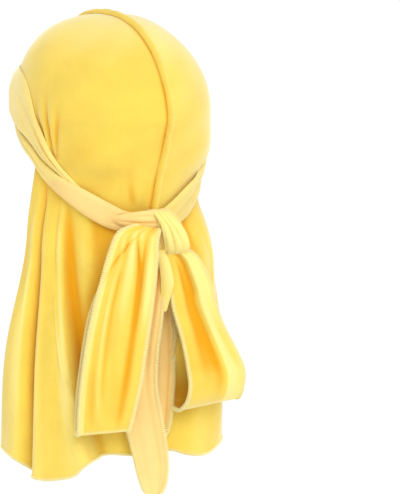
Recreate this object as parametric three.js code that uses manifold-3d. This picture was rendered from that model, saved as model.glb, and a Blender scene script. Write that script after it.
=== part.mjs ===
// A stretch velvet durag, tied as it is worn: a two-panel crown with a raised centre seam, two wide straps that
// cross on the forehead and on the nape and are tied there in a hanging bow, and a folded cape below them.
// Millimetres, +Z up. The origin is the inside of the crown's top, where the head bears on the cloth.
// The wearer faces -Y, and the wearer's left is +X. A bearing is an angle round the head in degrees, 0 at the
// forehead, 90 at the left ear and 180 at the nape. A drop is a depth below the crest of the centre seam.
import * as THREE from 'three';
import Module from 'manifold-3d';
import { mergeVertices } from 'three/addons/utils/BufferGeometryUtils.js';

// The head that the cloth is stretched over
const headHalfWidth = 77;
const headHalfLength = 96;
const crownRise = 85;
const napeDrop = 168;
const browFullness = 2.5;
const backFullness = 2;

// Cloth, and the room left between pieces that touch
const cloth = 1.5;
const seatRoom = 1.0;
const panelGap = 0.4;
const seamSeat = 0.8;
const edgeGap = 2;
const pocketRoom = 0.4;

// The crown's edge: tucked up under the straps, and let down as a brim over the brow
const tuck = 7;
const brim = 5;

// The raised centre seam
const seamWidth = 4.8;
const seamHeight = 3.2;
const seamLean = 0.9;

// The straps where they go round the head
const strapEdge = 1.3;
const strapPuff = 1.5;
const strapBundle = 20;

// The cape
const capeReach = 100;
const capeDrop = 370;

// The bow
const bowDrop = 170;
const bowHalfWidth = 27;
const bowOut = 30;
const bowSpread = 50;
const bowCloth = 1.4;
const bowFold = 3;
const knotDrop = 184;
const knotAcross = 16;
const knotDeep = 11.5;
const knotTall = 20;
const bowSide = -1;
const knotSide = -4.5;
const knotPleats = 9;
const knotPleatDepth = 0.9;

const CROWN_ROWS = 14;
const CROWN_COLUMNS = 18;
const STRAP_SPANS = [{ to: 70, step: 10 }, { to: 126, step: 5.6 }, { to: 180, step: 9 }];
const STRAP_COLUMNS = 5;
const CAPE_ROWS = [0, 1, 1.9, 3, 4.4, 6.2, 8.2, 10.4, 12.7, 15];

const radians = THREE.MathUtils.degToRad;
const { clamp, lerp, smoothstep } = THREE.MathUtils;
const vector = (x, y, z) => new THREE.Vector3(x, y, z);

// Tables are read by a smooth curve through their rows, from one named column to another.
function read(rows, from, at, to) {
  const last = rows.length - 1;
  if (at <= rows[0][from]) return rows[0][to];
  if (at >= rows[last][from]) return rows[last][to];
  let k = 0;
  while (rows[k + 1][from] < at) k += 1;
  const slope = (i) => {
    const a = rows[Math.max(i - 1, 0)];
    const b = rows[Math.min(i + 1, last)];
    return (b[to] - a[to]) / (b[from] - a[from]);
  };
  const span = rows[k + 1][from] - rows[k][from];
  const t = (at - rows[k][from]) / span;
  const t2 = t * t;
  const t3 = t2 * t;
  return (2 * t3 - 3 * t2 + 1) * rows[k][to] + (t3 - 2 * t2 + t) * span * slope(k)
    + (3 * t2 - 2 * t3) * rows[k + 1][to] + (t3 - t2) * span * slope(k + 1);
}

// The head below its widest section. drop is a share of napeDrop, width and back are shares of the head's own
// half sizes, and corner is how far it fills out between the ear and the nape.
const HEAD = [
  { drop: 0.506, width: 1.0, back: 1.0, corner: 0.0 },
  { drop: 0.57, width: 0.985, back: 0.955, corner: 0.025 },
  { drop: 0.667, width: 0.965, back: 0.895, corner: 0.055 },
  { drop: 0.74, width: 0.948, back: 0.845, corner: 0.045 },
  { drop: 0.804, width: 0.93, back: 0.8, corner: 0.005 },
  { drop: 0.923, width: 0.89, back: 0.725, corner: 0.0 },
  { drop: 1.0, width: 0.865, back: 0.683, corner: 0.0 },
  { drop: 1.08, width: 0.85, back: 0.652, corner: 0.0 },
  { drop: 1.19, width: 0.84, back: 0.63, corner: 0.0 },
];
const seamCrest = cloth + seamSeat + seamHeight;
const domeRise = crownRise - seamCrest;

function headPoint(bearing, drop) {
  const dome = drop < crownRise;
  const share = HEAD[0].drop + (drop - crownRise) / napeDrop;
  const backward = -Math.cos(radians(bearing));
  const fullness = lerp(browFullness, backFullness, smoothstep(backward, -0.5, 0.5));
  const level = Math.min(1, (crownRise - drop) / domeRise);
  const width = dome ? (1 - level ** fullness) ** (1 / fullness) : read(HEAD, 'drop', share, 'width');
  const length = dome || backward < 0 ? width : read(HEAD, 'drop', share, 'back');
  const corner = dome || backward < 0 ? 0 : read(HEAD, 'drop', share, 'corner');
  const swell = 1 + corner * Math.sin(2 * radians(bearing)) ** 2;
  const across = headHalfWidth * width * Math.sin(radians(bearing));
  return vector(swell * across, swell * headHalfLength * length * backward, -drop);
}

// A point that lies out millimetres off the head, along the head's own normal.
function onHead(bearing, drop, out) {
  const step = 0.4;
  if (drop - seamCrest < step) return vector(0, 0, out - drop);
  const round = headPoint(bearing + step, drop).sub(headPoint(bearing - step, drop));
  const down = headPoint(bearing, drop + step).sub(headPoint(bearing, drop - step));
  const normal = down.cross(round).normalize();
  return headPoint(bearing, drop).addScaledVector(normal, out);
}

// The drop that an arc from the crown's top reaches, the arc given in degrees of the crown's own curve.
const arcDrop = (arc) => seamCrest + domeRise * (arc < 90 ? 1 - Math.cos(radians(arc)) : 1 + radians(arc - 90));
const dropArc = (drop) => (drop < crownRise
  ? THREE.MathUtils.radToDeg(Math.acos(Math.min(1, (crownRise - drop) / domeRise)))
  : 90 + THREE.MathUtils.radToDeg((drop - crownRise) / domeRise));

// Where each strap's top and foot run on the left and on the right of the head, as shares of napeDrop.
const UPPER_PASS = [
  { bearing: 0, leftTop: 0.3, leftFoot: 0.535, rightTop: 0.3, rightFoot: 0.535 },
  { bearing: 36, leftTop: 0.3, leftFoot: 0.54, rightTop: 0.3, rightFoot: 0.54 },
  { bearing: 60, leftTop: 0.305, leftFoot: 0.555, rightTop: 0.305, rightFoot: 0.55 },
  { bearing: 75, leftTop: 0.33, leftFoot: 0.595, rightTop: 0.34, rightFoot: 0.585 },
  { bearing: 86, leftTop: 0.405, leftFoot: 0.655, rightTop: 0.45, rightFoot: 0.66 },
  { bearing: 95, leftTop: 0.55, leftFoot: 0.71, rightTop: 0.6, rightFoot: 0.72 },
  { bearing: 105, leftTop: 0.675, leftFoot: 0.752, rightTop: 0.7, rightFoot: 0.77 },
  { bearing: 116, leftTop: 0.77, leftFoot: 0.818, rightTop: 0.75, rightFoot: 0.825 },
  { bearing: 130, leftTop: 0.87, leftFoot: 0.945, rightTop: 0.785, rightFoot: 0.87 },
  { bearing: 146, leftTop: 0.93, leftFoot: 1.01, rightTop: 0.82, rightFoot: 0.915 },
  { bearing: 160, leftTop: 0.975, leftFoot: 1.05, rightTop: 0.87, rightFoot: 0.99 },
  { bearing: 180, leftTop: 0.985, leftFoot: 1.07, rightTop: 0.985, rightFoot: 1.07 },
];
const LOWER_PASS = [
  { bearing: 0, leftTop: 0.32, leftFoot: 0.55, rightTop: 0.32, rightFoot: 0.55 },
  { bearing: 36, leftTop: 0.325, leftFoot: 0.56, rightTop: 0.325, rightFoot: 0.56 },
  { bearing: 56, leftTop: 0.39, leftFoot: 0.6, rightTop: 0.39, rightFoot: 0.6 },
  { bearing: 66, leftTop: 0.52, leftFoot: 0.645, rightTop: 0.52, rightFoot: 0.64 },
  { bearing: 76, leftTop: 0.62, leftFoot: 0.695, rightTop: 0.61, rightFoot: 0.69 },
  { bearing: 86, leftTop: 0.672, leftFoot: 0.742, rightTop: 0.675, rightFoot: 0.75 },
  { bearing: 95, leftTop: 0.73, leftFoot: 0.815, rightTop: 0.735, rightFoot: 0.815 },
  { bearing: 106, leftTop: 0.772, leftFoot: 0.878, rightTop: 0.79, rightFoot: 0.875 },
  { bearing: 116, leftTop: 0.806, leftFoot: 0.92, rightTop: 0.845, rightFoot: 0.925 },
  { bearing: 128, leftTop: 0.845, leftFoot: 0.98, rightTop: 0.885, rightFoot: 0.97 },
  { bearing: 146, leftTop: 0.915, leftFoot: 1.052, rightTop: 0.935, rightFoot: 1.045 },
  { bearing: 160, leftTop: 0.965, leftFoot: 1.08, rightTop: 0.975, rightFoot: 1.08 },
  { bearing: 180, leftTop: 0.985, leftFoot: 1.085, rightTop: 0.985, rightFoot: 1.085 },
];

const turned = (bearing) => THREE.MathUtils.euclideanModulo(bearing + 180, 360) - 180;

function passEdges(pass, bearing) {
  const around = turned(bearing);
  const side = around < 0 ? 'right' : 'left';
  const at = Math.abs(around);
  return {
    top: napeDrop * read(pass, 'bearing', at, `${side}Top`),
    foot: napeDrop * read(pass, 'bearing', at, `${side}Foot`),
  };
}

// A strap is the upper one on its own side of the head and the lower one on the other side.
const crossing = 0.64;

function strapEdges(bearing, side) {
  const upper = passEdges(UPPER_PASS, bearing);
  const lower = passEdges(LOWER_PASS, bearing);
  const share = smoothstep(side * Math.sin(radians(bearing)), -crossing, crossing);
  return { top: lerp(lower.top, upper.top, share), foot: lerp(lower.foot, upper.foot, share) };
}

// The crown ends under the lower strap, and over the brow it shows below the straps.
function crownEdge(bearing) {
  const away = Math.abs(turned(bearing));
  return passEdges(LOWER_PASS, bearing).foot + lerp(brim, -tuck, smoothstep(away, 44, 70));
}

// A closed mesh from two grids of points that face each other. Rows may close into a ring.
function slab(inner, outer, ring = false) {
  const positions = [];
  const index = [];
  const known = new Map();
  const vertex = (p) => {
    const key = `${p.x.toFixed(4)} ${p.y.toFixed(4)} ${p.z.toFixed(4)}`;
    if (!known.has(key)) {
      known.set(key, positions.length / 3);
      positions.push(p.x, p.y, p.z);
    }
    return known.get(key);
  };
  const face = (a, b, c) => {
    const corners = [vertex(a), vertex(b), vertex(c)];
    if (new Set(corners).size === 3) index.push(...corners);
  };
  const quad = (a, b, c, d) => {
    face(a, b, c);
    face(a, c, d);
  };
  const rows = inner.length;
  const columns = inner[0].length;
  const steps = ring ? rows : rows - 1;
  for (let i = 0; i < steps; i += 1) {
    const n = (i + 1) % rows;
    for (let j = 0; j < columns - 1; j += 1) {
      quad(outer[i][j], outer[n][j], outer[n][j + 1], outer[i][j + 1]);
      quad(inner[i][j + 1], inner[n][j + 1], inner[n][j], inner[i][j]);
    }
    quad(inner[i][0], inner[n][0], outer[n][0], outer[i][0]);
    const e = columns - 1;
    quad(outer[i][e], outer[n][e], inner[n][e], inner[i][e]);
  }
  if (!ring) {
    const e = rows - 1;
    for (let j = 0; j < columns - 1; j += 1) {
      quad(inner[0][j], outer[0][j], outer[0][j + 1], inner[0][j + 1]);
      quad(inner[e][j + 1], outer[e][j + 1], outer[e][j], inner[e][j]);
    }
  }
  let volume = 0;
  const at = (k) => vector(positions[3 * k], positions[3 * k + 1], positions[3 * k + 2]);
  for (let k = 0; k < index.length; k += 3) {
    volume += at(index[k]).dot(at(index[k + 1]).cross(at(index[k + 2])));
  }
  if (volume < 0) index.reverse();
  const geometry = new THREE.BufferGeometry();
  geometry.setAttribute('position', new THREE.Float32BufferAttribute(positions, 3));
  geometry.setIndex(index);
  return geometry;
}

// A cloth of even thickness whose middle runs through a grid of points.
function sheet(middle, thickness) {
  const offset = (sign) => middle.map((row, i) => row.map((p, j) => {
    const before = middle[Math.max(i - 1, 0)][j];
    const after = middle[Math.min(i + 1, middle.length - 1)][j];
    const left = row[Math.max(j - 1, 0)];
    const right = row[Math.min(j + 1, row.length - 1)];
    const normal = after.clone().sub(before).cross(right.clone().sub(left)).normalize();
    return p.clone().addScaledVector(normal, sign * thickness / 2);
  }));
  return slab(offset(-1), offset(1));
}

// One half of the crown, from the middle plane round one side. side is 1 on the wearer's left and -1 on the right.
function crownPanel(side) {
  const grid = (out) => {
    const rows = [];
    for (let i = 0; i <= CROWN_ROWS; i += 1) {
      const row = [];
      for (let j = 0; j <= CROWN_COLUMNS; j += 1) {
        const bearing = side * 180 * j / CROWN_COLUMNS;
        const drop = arcDrop(dropArc(crownEdge(bearing)) * i / CROWN_ROWS);
        const p = onHead(bearing, drop, out);
        p.x = side * Math.max(side * p.x, panelGap / 2);
        row.push(p);
      }
      rows.push(row);
    }
    return rows;
  };
  return slab(grid(0), grid(cloth));
}

// The raised seam over the middle of the crown, from the straps on the forehead to the straps on the nape.
const SEAM_SECTION = [
  { across: 0.5, up: 0.0 }, { across: 0.42, up: 0.65 }, { across: 0.05, up: 1.0 }, { across: -0.38, up: 0.78 },
  { across: -0.5, up: 0.0 },
];

function centreSeam() {
  const frontArc = dropArc(strapEdges(0, 1).top - 1);
  const napeArc = dropArc(strapEdges(180, 1).top - 1);
  const marks = [];
  const frontStep = dropArc(crownEdge(0)) / CROWN_ROWS;
  const step = dropArc(crownEdge(180)) / CROWN_ROWS / 2;
  for (let arc = frontStep; arc < frontArc; arc += frontStep) marks.unshift({ bearing: 0, arc });
  marks.unshift({ bearing: 0, arc: frontArc });
  marks.push({ bearing: 180, arc: 0 });
  for (let arc = step; arc < napeArc; arc += step) marks.push({ bearing: 180, arc });
  marks.push({ bearing: 180, arc: napeArc });
  const section = ({ bearing, arc }) => SEAM_SECTION.map(({ across, up }) => {
    const p = onHead(bearing, arcDrop(arc), cloth + seamSeat + seamHeight * up);
    return vector(seamWidth * across - seamLean * up, p.y, p.z);
  });
  const outline = marks.map(section);
  const base = outline.map((row) => row.map((p, j) => row[0].clone().lerp(row[row.length - 1], j / (row.length - 1))));
  return slab(base, outline);
}

// One strap's turn round the head. Where the straps cross, the one on top is lifted clear of the other.
const liftFront = { full: 74, none: 88 };
const liftBack = { left: { none: 104, full: 117 }, right: { none: 136, full: 150 } };
const flatAtBack = 0.35;

function backShare(bearing) {
  const around = turned(bearing);
  const { none, full } = around < 0 ? liftBack.right : liftBack.left;
  return smoothstep(Math.abs(around), none, full);
}

function strapPuffAt(bearing, side) {
  const { top, foot } = strapEdges(bearing, side);
  const flat = lerp(1, flatAtBack, backShare(bearing));
  return strapPuff * Math.min(1, strapBundle / (foot - top)) * flat;
}

function strapLift(bearing, side) {
  const away = Math.abs(turned(bearing));
  const height = strapEdge + seatRoom + strapPuffAt(bearing, -side);
  if (side > 0) return height * (1 - smoothstep(away, liftFront.full, liftFront.none));
  return height * backShare(bearing);
}

// The bearings of the straps' sections lie closer together beside the ears, where the straps turn down.
function strapBearings() {
  const half = [0];
  STRAP_SPANS.forEach(({ to, step }) => {
    const from = half[half.length - 1];
    const steps = Math.round((to - from) / step);
    for (let k = 1; k <= steps; k += 1) half.push(lerp(from, to, k / steps));
  });
  return [...half, ...half.slice(1, -1).reverse().map((bearing) => 360 - bearing)];
}

function strapWrap(side) {
  const grid = (isOuter) => {
    const rows = [];
    strapBearings().forEach((bearing) => {
      const { top, foot } = strapEdges(bearing, side);
      const seat = cloth + seatRoom + strapLift(bearing, side);
      const row = [];
      for (let j = 0; j <= STRAP_COLUMNS; j += 1) {
        const u = j / STRAP_COLUMNS;
        const rise = strapEdge + strapPuffAt(bearing, side) * Math.sin(Math.PI * u) ** 0.7;
        row.push(onHead(bearing, lerp(top, foot, u), seat + (isOuter ? rise : 0)));
      }
      rows.push(row);
    });
    return rows;
  };
  return slab(grid(false), grid(true), true);
}

// The cape's fold lines from its left edge round to its right edge. from and to are their bearings at the tie
// line and at the hem, the next three how far out they lie high up, half way and at the hem as shares of
// capeReach, and drop is the hem's depth as a share of capeDrop.
const FOLDS = [
  { to: 77, from: 87, high: 0.82, middle: 0.985, hem: 0.998, drop: 1.005 },
  { to: 83, from: 89.5, high: 0.825, middle: 0.98, hem: 1.005, drop: 1.012 },
  { to: 89, from: 92, high: 0.83, middle: 0.975, hem: 1.01, drop: 1.018 },
  { to: 94, from: 94.5, high: 0.825, middle: 0.945, hem: 0.985, drop: 1.03 },
  { to: 99, from: 97.5, high: 0.73, middle: 0.8, hem: 0.84, drop: 1.058 },
  { to: 106, from: 101, high: 0.8, middle: 0.91, hem: 0.985, drop: 1.062 },
  { to: 113, from: 104, high: 0.8, middle: 0.9, hem: 0.975, drop: 1.065 },
  { to: 122, from: 108, high: 0.79, middle: 0.885, hem: 0.965, drop: 1.06 },
  { to: 130, from: 111, high: 0.78, middle: 0.88, hem: 0.955, drop: 1.05 },
  { to: 136, from: 114, high: 0.775, middle: 0.87, hem: 0.95, drop: 1.025 },
  { to: 141, from: 119, high: 0.69, middle: 0.71, hem: 0.75, drop: 1.012 },
  { to: 148, from: 129, high: 0.71, middle: 0.72, hem: 0.76, drop: 1.005 },
  { to: 156, from: 143, high: 0.68, middle: 0.68, hem: 0.745, drop: 1.007 },
  { to: 165, from: 158, high: 0.7, middle: 0.68, hem: 0.73, drop: 1.01 },
  { to: 174, from: 172, high: 0.655, middle: 0.645, hem: 0.72, drop: 1.01 },
  { to: 183, from: 184, high: 0.65, middle: 0.635, hem: 0.73, drop: 1.004 },
  { to: 190, from: 194, high: 0.7, middle: 0.66, hem: 0.78, drop: 1.002 },
  { to: 197, from: 203, high: 0.77, middle: 0.71, hem: 0.85, drop: 1.012 },
  { to: 204, from: 211, high: 0.8, middle: 0.78, hem: 0.91, drop: 1.016 },
  { to: 212, from: 218, high: 0.85, middle: 0.83, hem: 0.925, drop: 1.014 },
  { to: 220, from: 225, high: 0.87, middle: 0.885, hem: 0.925, drop: 1.006 },
  { to: 228, from: 231, high: 0.865, middle: 0.93, hem: 0.93, drop: 1.0 },
  { to: 236, from: 237, high: 0.855, middle: 0.935, hem: 0.92, drop: 0.995 },
  { to: 244, from: 243, high: 0.835, middle: 0.9, hem: 0.9, drop: 0.995 },
  { to: 252, from: 250, high: 0.8, middle: 0.85, hem: 0.84, drop: 1.0 },
  { to: 261, from: 258, high: 0.81, middle: 0.92, hem: 0.96, drop: 1.005 },
  { to: 270, from: 267, high: 0.79, middle: 0.92, hem: 0.97, drop: 1.005 },
  { to: 280, from: 278, high: 0.765, middle: 0.9, hem: 0.95, drop: 1.0 },
];

const flareShare = 0.26;
const highShare = 0.3;
const middleShare = 0.65;

function capePoint(to, i) {
  const fold = Object.fromEntries(['from', 'high', 'middle', 'hem', 'drop'].map((key) => [key, read(FOLDS, 'to', to, key)]));
  const top = crownEdge(fold.from) + edgeGap;
  const hem = fold.drop * capeDrop;
  const held = tuck + 0.6;
  const last = CAPE_ROWS[CAPE_ROWS.length - 1];
  const drop = i <= 1 ? top + held * i : lerp(top + held, hem, (i - 1) / (last - 1));
  const t = (drop - top) / (hem - top);
  const seated = onHead(fold.from, drop, cloth / 2);
  if (i <= 1) return seated;
  const reach = capeReach * read([
    { t: 0, reach: fold.high }, { t: highShare, reach: fold.high },
    { t: middleShare, reach: fold.middle }, { t: 1, reach: fold.hem },
  ], 't', t, 'reach');
  const bearing = radians(lerp(fold.from, to, t * t));
  const still = held / (hem - top);
  const free = 1 - (1 - clamp((t - still) / (flareShare - still), 0, 1)) ** 2;
  return seated.lerp(vector(reach * Math.sin(bearing), -reach * Math.cos(bearing), -drop), free);
}

function cape() {
  const across = [];
  FOLDS.slice(0, -1).forEach((fold, k) => {
    across.push(fold.to, lerp(fold.to, FOLDS[k + 1].to, 0.5));
  });
  across.push(FOLDS[FOLDS.length - 1].to);
  return sheet(CAPE_ROWS.map((i) => across.map((to) => capePoint(to, i))), cloth);
}

// The bow's pieces. side, out and drop place the middle of each section from the knot, as shares of bowSpread,
// bowOut and bowDrop. face is the bearing that the section looks to, tilt how far its right end is turned
// down in degrees, width its half width as a share of bowHalfWidth, and fold how deep its pleats are.
const LEFT_LOOP = [
  { side: 0.3, out: 0.12, drop: -0.05, face: 150, tilt: 12, width: 0.38, fold: 0.5 },
  { side: 0.54, out: 0.22, drop: -0.012, face: 148, tilt: 12, width: 0.64, fold: 0.9 },
  { side: 0.66, out: 0.27, drop: 0.09, face: 146, tilt: 9, width: 0.78, fold: 1.0 },
  { side: 0.78, out: 0.3, drop: 0.22, face: 145, tilt: 6, width: 0.86, fold: 0.95 },
  { side: 0.91, out: 0.33, drop: 0.36, face: 145, tilt: 4, width: 0.93, fold: 0.75 },
  { side: 1.02, out: 0.33, drop: 0.51, face: 145, tilt: 2, width: 0.96, fold: 0.55 },
  { side: 1.13, out: 0.33, drop: 0.7, face: 145, tilt: 0, width: 0.96, fold: 0.45 },
  { side: 1.21, out: 0.33, drop: 0.84, face: 145, tilt: -4, width: 0.92, fold: 0.35 },
  { side: 1.25, out: 0.27, drop: 0.94, face: 145, tilt: -6, width: 0.86, fold: 0.15 },
  { side: 1.22, out: 0.07, drop: 0.972, face: 145, tilt: -6, width: 0.84, fold: 0.0 },
  { side: 1.17, out: -0.09, drop: 0.93, face: 145, tilt: -6, width: 0.86, fold: -0.15 },
  { side: 1.07, out: -0.1, drop: 0.7, face: 145, tilt: 0, width: 0.9, fold: -0.3 },
  { side: 0.86, out: -0.07, drop: 0.36, face: 146, tilt: 4, width: 0.85, fold: -0.4 },
  { side: 0.5, out: -0.03, drop: 0.12, face: 148, tilt: 14, width: 0.52, fold: -0.4 },
  { side: 0.12, out: -0.02, drop: 0.05, face: 150, tilt: 36, width: 0.26, fold: -0.2 },
];
const RIGHT_LOOP = [
  { side: -0.1, out: 0.16, drop: 0.05, face: 160, tilt: -30, width: 0.26, fold: 0.4 },
  { side: -0.22, out: 0.24, drop: 0.1, face: 162, tilt: -24, width: 0.4, fold: 0.8 },
  { side: -0.32, out: 0.3, drop: 0.155, face: 164, tilt: -18, width: 0.56, fold: 1.0 },
  { side: -0.42, out: 0.37, drop: 0.27, face: 168, tilt: -14, width: 0.7, fold: 0.9 },
  { side: -0.46, out: 0.43, drop: 0.36, face: 172, tilt: -12, width: 0.718, fold: 0.8 },
  { side: -0.6, out: 0.54, drop: 0.5, face: 178, tilt: -12, width: 0.795, fold: 0.6 },
  { side: -0.71, out: 0.67, drop: 0.615, face: 182, tilt: -12, width: 0.941, fold: 0.45 },
  { side: -0.79, out: 0.76, drop: 0.72, face: 184, tilt: -10, width: 1.067, fold: 0.25 },
  { side: -0.79, out: 0.64, drop: 0.81, face: 184, tilt: -8, width: 1.096, fold: 0.1 },
  { side: -0.79, out: 0.27, drop: 0.865, face: 178, tilt: -7, width: 1.096, fold: 0.0 },
  { side: -0.79, out: -0.13, drop: 0.845, face: 170, tilt: -7, width: 1.086, fold: 0.0 },
  { side: -0.79, out: -0.23, drop: 0.77, face: 168, tilt: -7, width: 1.067, fold: -0.1 },
  { side: -0.69, out: 0.03, drop: 0.6, face: 168, tilt: -8, width: 0.931, fold: -0.2 },
  { side: -0.62, out: 0.14, drop: 0.43, face: 170, tilt: -10, width: 0.74, fold: -0.3 },
  { side: -0.43, out: 0.05, drop: 0.27, face: 166, tilt: -14, width: 0.58, fold: -0.3 },
  { side: -0.34, out: 0.04, drop: 0.14, face: 164, tilt: -24, width: 0.38, fold: -0.2 },
  { side: -0.23, out: 0.02, drop: 0.07, face: 162, tilt: -34, width: 0.22, fold: 0.0 },
];
const FRONT_TAIL = [
  { side: 0.1, out: -0.14, drop: 0.07, face: 152, tilt: 8, width: 0.24, fold: 0.2 },
  { side: 0.15, out: -0.08, drop: 0.16, face: 150, tilt: 6, width: 0.38, fold: 0.6 },
  { side: 0.26, out: 0.0, drop: 0.25, face: 150, tilt: 8, width: 0.5, fold: 0.8 },
  { side: 0.42, out: 0.05, drop: 0.42, face: 150, tilt: 8, width: 0.6, fold: 0.6 },
  { side: 0.52, out: 0.05, drop: 0.58, face: 150, tilt: 2, width: 0.63, fold: 0.4 },
  { side: 0.53, out: 0.05, drop: 0.76, face: 150, tilt: -4, width: 0.64, fold: 0.3 },
  { side: 0.44, out: 0.05, drop: 0.92, face: 150, tilt: -8, width: 0.64, fold: 0.3 },
  { side: 0.31, out: 0.05, drop: 1.08, face: 150, tilt: -8, width: 0.63, fold: 0.3 },
  { side: 0.24, out: 0.05, drop: 1.19, face: 150, tilt: -8, width: 0.54, fold: 0.25 },
  { side: 0.2, out: 0.05, drop: 1.275, face: 150, tilt: -8, width: 0.36, fold: 0.15 },
  { side: 0.19, out: 0.05, drop: 1.315, face: 150, tilt: -8, width: 0.18, fold: 0.1 },
];
const REAR_TAIL = [
  { side: -0.06, out: -0.3, drop: 0.07, face: 152, tilt: 0, width: 0.26, fold: 0.1 },
  { side: -0.04, out: -0.36, drop: 0.2, face: 152, tilt: 0, width: 0.34, fold: 0.3 },
  { side: 0.0, out: -0.33, drop: 0.4, face: 152, tilt: 0, width: 0.38, fold: 0.4 },
  { side: 0.01, out: -0.3, drop: 0.65, face: 152, tilt: 0, width: 0.4, fold: 0.4 },
  { side: 0.01, out: -0.28, drop: 0.88, face: 152, tilt: 0, width: 0.4, fold: 0.4 },
  { side: 0.01, out: -0.27, drop: 0.99, face: 152, tilt: 0, width: 0.34, fold: 0.3 },
  { side: 0.01, out: -0.27, drop: 1.04, face: 152, tilt: 0, width: 0.18, fold: 0.1 },
];
// The pleats across a bow piece, from its left edge to its right.
const PLEATS = [
  { across: -1, out: 0.0 }, { across: -0.72, out: 0.35 }, { across: -0.42, out: -0.15 }, { across: -0.1, out: 0.75 },
  { across: 0.26, out: 0.1 }, { across: 0.46, out: -0.8 }, { across: 0.7, out: 0.3 }, { across: 1, out: 0.0 },
];
const BOW_COLUMNS = 8;
const BOW_STEPS = 2;
// The share of the cape's reach at which the bow hangs, and the share of bowDrop by which it has got there
const bowPlane = 0.845;
const bowSettled = 0.5;

// The knot stands off the nape by the two straps under it.
const napeStack = cloth + 2 * seatRoom + strapLift(180, -1) + strapEdge + strapPuffAt(180, -1);
const knotBack = onHead(180, knotDrop, napeStack).y + knotDeep;

function bowSection(rows, at, grow) {
  const listed = rows.map((row, k) => ({ ...row, k }));
  const value = (key) => read(listed, 'k', at, key);
  const drop = value('drop');
  const plane = lerp(knotBack, capeReach * bowPlane, smoothstep(drop, 0, bowSettled));
  const centre = vector(bowSide + bowSpread * value('side'), plane + bowOut * value('out'),
    -(knotDrop + bowDrop * drop));
  const face = radians(value('face'));
  const tilt = radians(value('tilt'));
  const across = vector(Math.cos(face) * Math.cos(tilt), Math.sin(face) * Math.cos(tilt), -Math.sin(tilt));
  const outward = vector(Math.sin(face), -Math.cos(face), 0);
  const half = bowHalfWidth * value('width');
  const points = [];
  for (let j = 0; j < BOW_COLUMNS; j += 1) {
    const u = lerp(-1, 1, j / (BOW_COLUMNS - 1));
    const stretch = u * (half + grow);
    const depth = bowFold * value('fold') * read(PLEATS, 'across', u, 'out');
    points.push(centre.clone().addScaledVector(across, stretch).addScaledVector(outward, depth));
  }
  return points;
}

function bowMiddle(rows, grow) {
  const middle = [];
  for (let k = 0; k <= (rows.length - 1) * BOW_STEPS; k += 1) middle.push(bowSection(rows, k / BOW_STEPS, grow));
  return middle;
}

const bowPiece = (rows) => sheet(bowMiddle(rows, 0), bowCloth);

// The room that a bow piece needs in the knot: the piece itself, grown all round.
function bowRoom(rows) {
  const middle = bowMiddle(rows, pocketRoom);
  const ahead = middle[0].map((p, j) => p.clone().add(p.clone().sub(middle[1][j]).setLength(pocketRoom)));
  const last = middle.length - 1;
  const behind = middle[last].map((p, j) => p.clone().add(p.clone().sub(middle[last - 1][j]).setLength(pocketRoom)));
  return sheet([ahead, ...middle, behind], bowCloth + 2 * pocketRoom);
}

const wasm = await Module();
wasm.setup();

function toSolid(geometry) {
  const plain = geometry.clone();
  plain.deleteAttribute('uv');
  plain.deleteAttribute('normal');
  const welded = mergeVertices(plain, 1e-4);
  const index = Array.from(welded.index.array);
  const kept = [];
  for (let k = 0; k < index.length; k += 3) {
    const [a, b, c] = index.slice(k, k + 3);
    if (a !== b && b !== c && a !== c) kept.push(a, b, c);
  }
  const mesh = new wasm.Mesh({
    numProp: 3, vertProperties: new Float32Array(welded.attributes.position.array), triVerts: new Uint32Array(kept),
  });
  mesh.merge();
  return new wasm.Manifold(mesh);
}

function fromSolid(solid) {
  const mesh = solid.getMesh();
  const geometry = new THREE.BufferGeometry();
  geometry.setAttribute('position', new THREE.Float32BufferAttribute(mesh.vertProperties, 3));
  geometry.setIndex(new THREE.Uint32BufferAttribute(mesh.triVerts, 1));
  return geometry;
}

// A rounded lump with pleats that run from its top to its foot.
function lump(half, centre, pleats, depth) {
  const ball = new THREE.SphereGeometry(1, 27, 9);
  const position = ball.attributes.position;
  for (let k = 0; k < position.count; k += 1) {
    const p = vector().fromBufferAttribute(position, k);
    const around = Math.atan2(p.z, p.x);
    const flat = Math.hypot(p.x, p.z);
    const swell = 1 + depth / half.x * Math.cos(pleats * around) * flat ** 2;
    position.setXYZ(k, centre.x + half.x * p.x * swell, centre.y - half.y * p.z * swell, centre.z + half.z * p.y);
  }
  return toSolid(ball);
}

function knot() {
  const middle = vector(knotSide, knotBack, -knotDrop);
  const wrap = lump(vector(knotAcross, knotDeep, knotTall), middle, knotPleats, knotPleatDepth);
  const shoulder = lump(vector(knotAcross * 1.1, knotDeep * 0.55, knotTall * 0.42),
    middle.clone().add(vector(knotAcross * 1.15, -knotDeep * 0.3, knotTall * 0.7)), knotPleats, knotPleatDepth / 2);
  const rooms = [LEFT_LOOP, RIGHT_LOOP, FRONT_TAIL, REAR_TAIL].map((rows) => toSolid(bowRoom(rows)));
  const cut = rooms.reduce((body, room) => body.subtract(room), wrap.add(shoulder));
  return fromSolid(cut.decompose().sort((a, b) => b.volume() - a.volume())[0]);
}

const velvet = (color, roughness) => new THREE.MeshStandardMaterial({ color, roughness, metalness: 0 });
const yellow = 0xf7d047;
const light = 0xfadc62;
const reverse = 0xf8d68a;

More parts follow.
